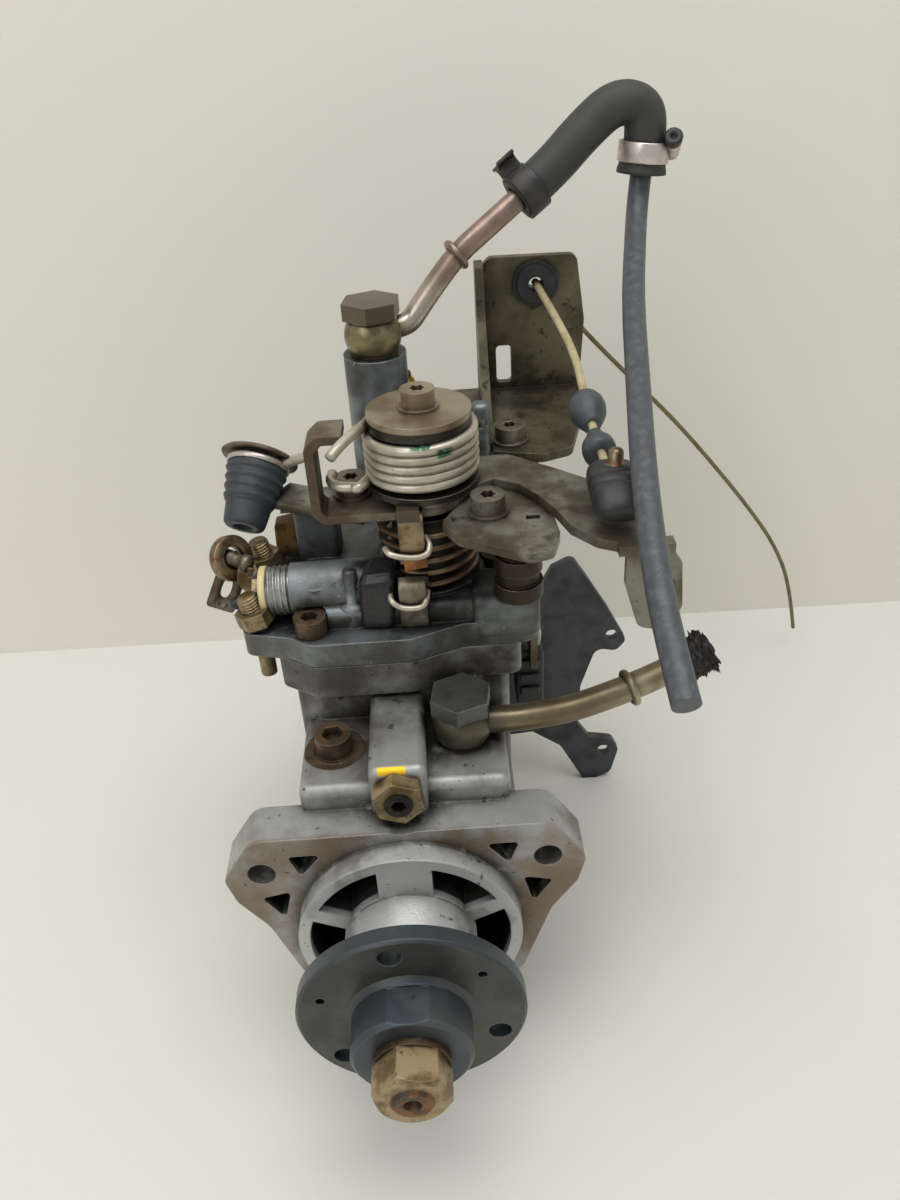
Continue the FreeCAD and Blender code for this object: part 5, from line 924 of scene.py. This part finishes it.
plate_down, plate_across = np.array([-0.43, 0, -0.903]), np.array([0.903, 0, -0.43])


def plate_loop(half_length, half_width, square, lift):
    """One outline of the slotted plate: a superellipse with two half sizes, lifted along the plate's face."""
    down, across = rounded_square(np.linspace(0, 2 * np.pi, 96, endpoint=False), square)
    return (plate_at + half_length * down[:, None] * plate_down + half_width * across[:, None] * plate_across
            + plate_face * lift)


half_sheet, outline, slot_outline = 0.9, (8.6, 4.6, 12), (3.6, 1.5, 2.6)
loops = [plate_loop(*outline, half_sheet), plate_loop(*slot_outline, half_sheet),
         plate_loop(*slot_outline, -half_sheet), plate_loop(*outline, -half_sheet)]
eye_plate = make("eye_plate", np.array(loops) * MM, rust_lever, slot="rusty_steel", closed_along=True)
outward(eye_plate)
spun("eye_plate_rivet", plate_at + plate_down * 6.1 + plate_face * 0.7, plate_face, [(0.05, 0), (1.7, 0),
    (1.7, 0.5), (1.2, 0.6), (1.0, 0.3), (0.05, 0.3)], rust_lever, 24, slot="rusty_steel")
strip("eye_arm", [(-44.2, 65.2, 91.6), (-45.2, 64.0, 88.2), (-43.2, 63.0, 85.4), (-41.2, 62.0, 83.4),
    (-40.6, 61.0, 80.6)], 5.0, 2.0, tab_steel, face=(0.2, -1, 0.3), slot="rusty_steel")
spun("boot_disc", boot_centre - boot_way * 3.6, boot_way, [(0.05, 0), (8, 0), (11.6, 0.7), (12.4, 1.5),
    (12.2, 2.0), (8, 1.4), (0.05, 1.4)], rust_lever, slot="rusty_steel")
spun("curl_bolt", (-15.6, 66.4, 131.5), (0, 0, 1), [(0.05, 0), (2.8, 0), (3.0, 0.3), (3.0, 3.0), (2.6, 3.5),
    (1.4, 3.6), (1.3, 2.2), (0.05, 2.2)], black_plastic, 24, body="idle_lever", slot="rusty_steel")
spun("end_screw", (-50.6, 62, 80.4), (1, 0, -0.08), [(0.05, 0), (1.6, 0), (2.0, 0.4), (2.0, 3.4),
    (1.4, 3.8), (1.4, 4.6), (3.4, 4.8), (3.6, 5.2), (3.6, 9.2), (2.2, 9.6), (2.2, 13), (0.05, 13)],
    black_plastic, 24, slot="black_plastic")


# Right side: a black ribbed connector below the lever with three pale wires, and a thin black cable behind.

block("connector_block", [(40.2, 76, 20), (50.0, 76, 18.6), (50.0, 88, 18.6), (40.2, 88, 20),
    (40.4, 76, 43.5), (50.2, 76, 42.8), (50.2, 88, 42.8), (40.4, 88, 43.5)], black_plastic,
    bevel=1.0)
rib_plan, rib_height = ((41.6, 74.8), (48.6, 74.8), (48.6, 77), (41.6, 77)), 3.2
for index, low in enumerate((24.5, 30.5, 36.5)):
    corners = [(*corner, level) for level in (low, low + rib_height) for corner in rib_plan]
    block(f"connector_rib_{index + 1}", corners, black_plastic)
cream_wire = finish("cream_wire", (206, 200, 184), (176, 166, 142), 0.0, 0.45, 300, (0.4, 0.65), 1500, 0.03,
    grime_and_shade=(60, 54, 44), grime_and_shade_reach=2)
for index, start_x in enumerate((42.6, 45.6, 48.2)):
    rod(f"connector_wire_{index + 1}", [(start_x, 80, 42.5), (start_x + 0.6, 80.6, 48),
        (start_x - 1.2, 82, 54), (start_x - 3.0, 86, 60)], 0.9, cream_wire, slot="cream_sleeve")
rod("thin_cable", [(40, 112, 86), (47, 116, 91), (55.1, 120, 96.7), (62, 120.6, 102.4), (69.6, 121, 107.4)],
    0.9, black_plastic, slot="black_rubber")
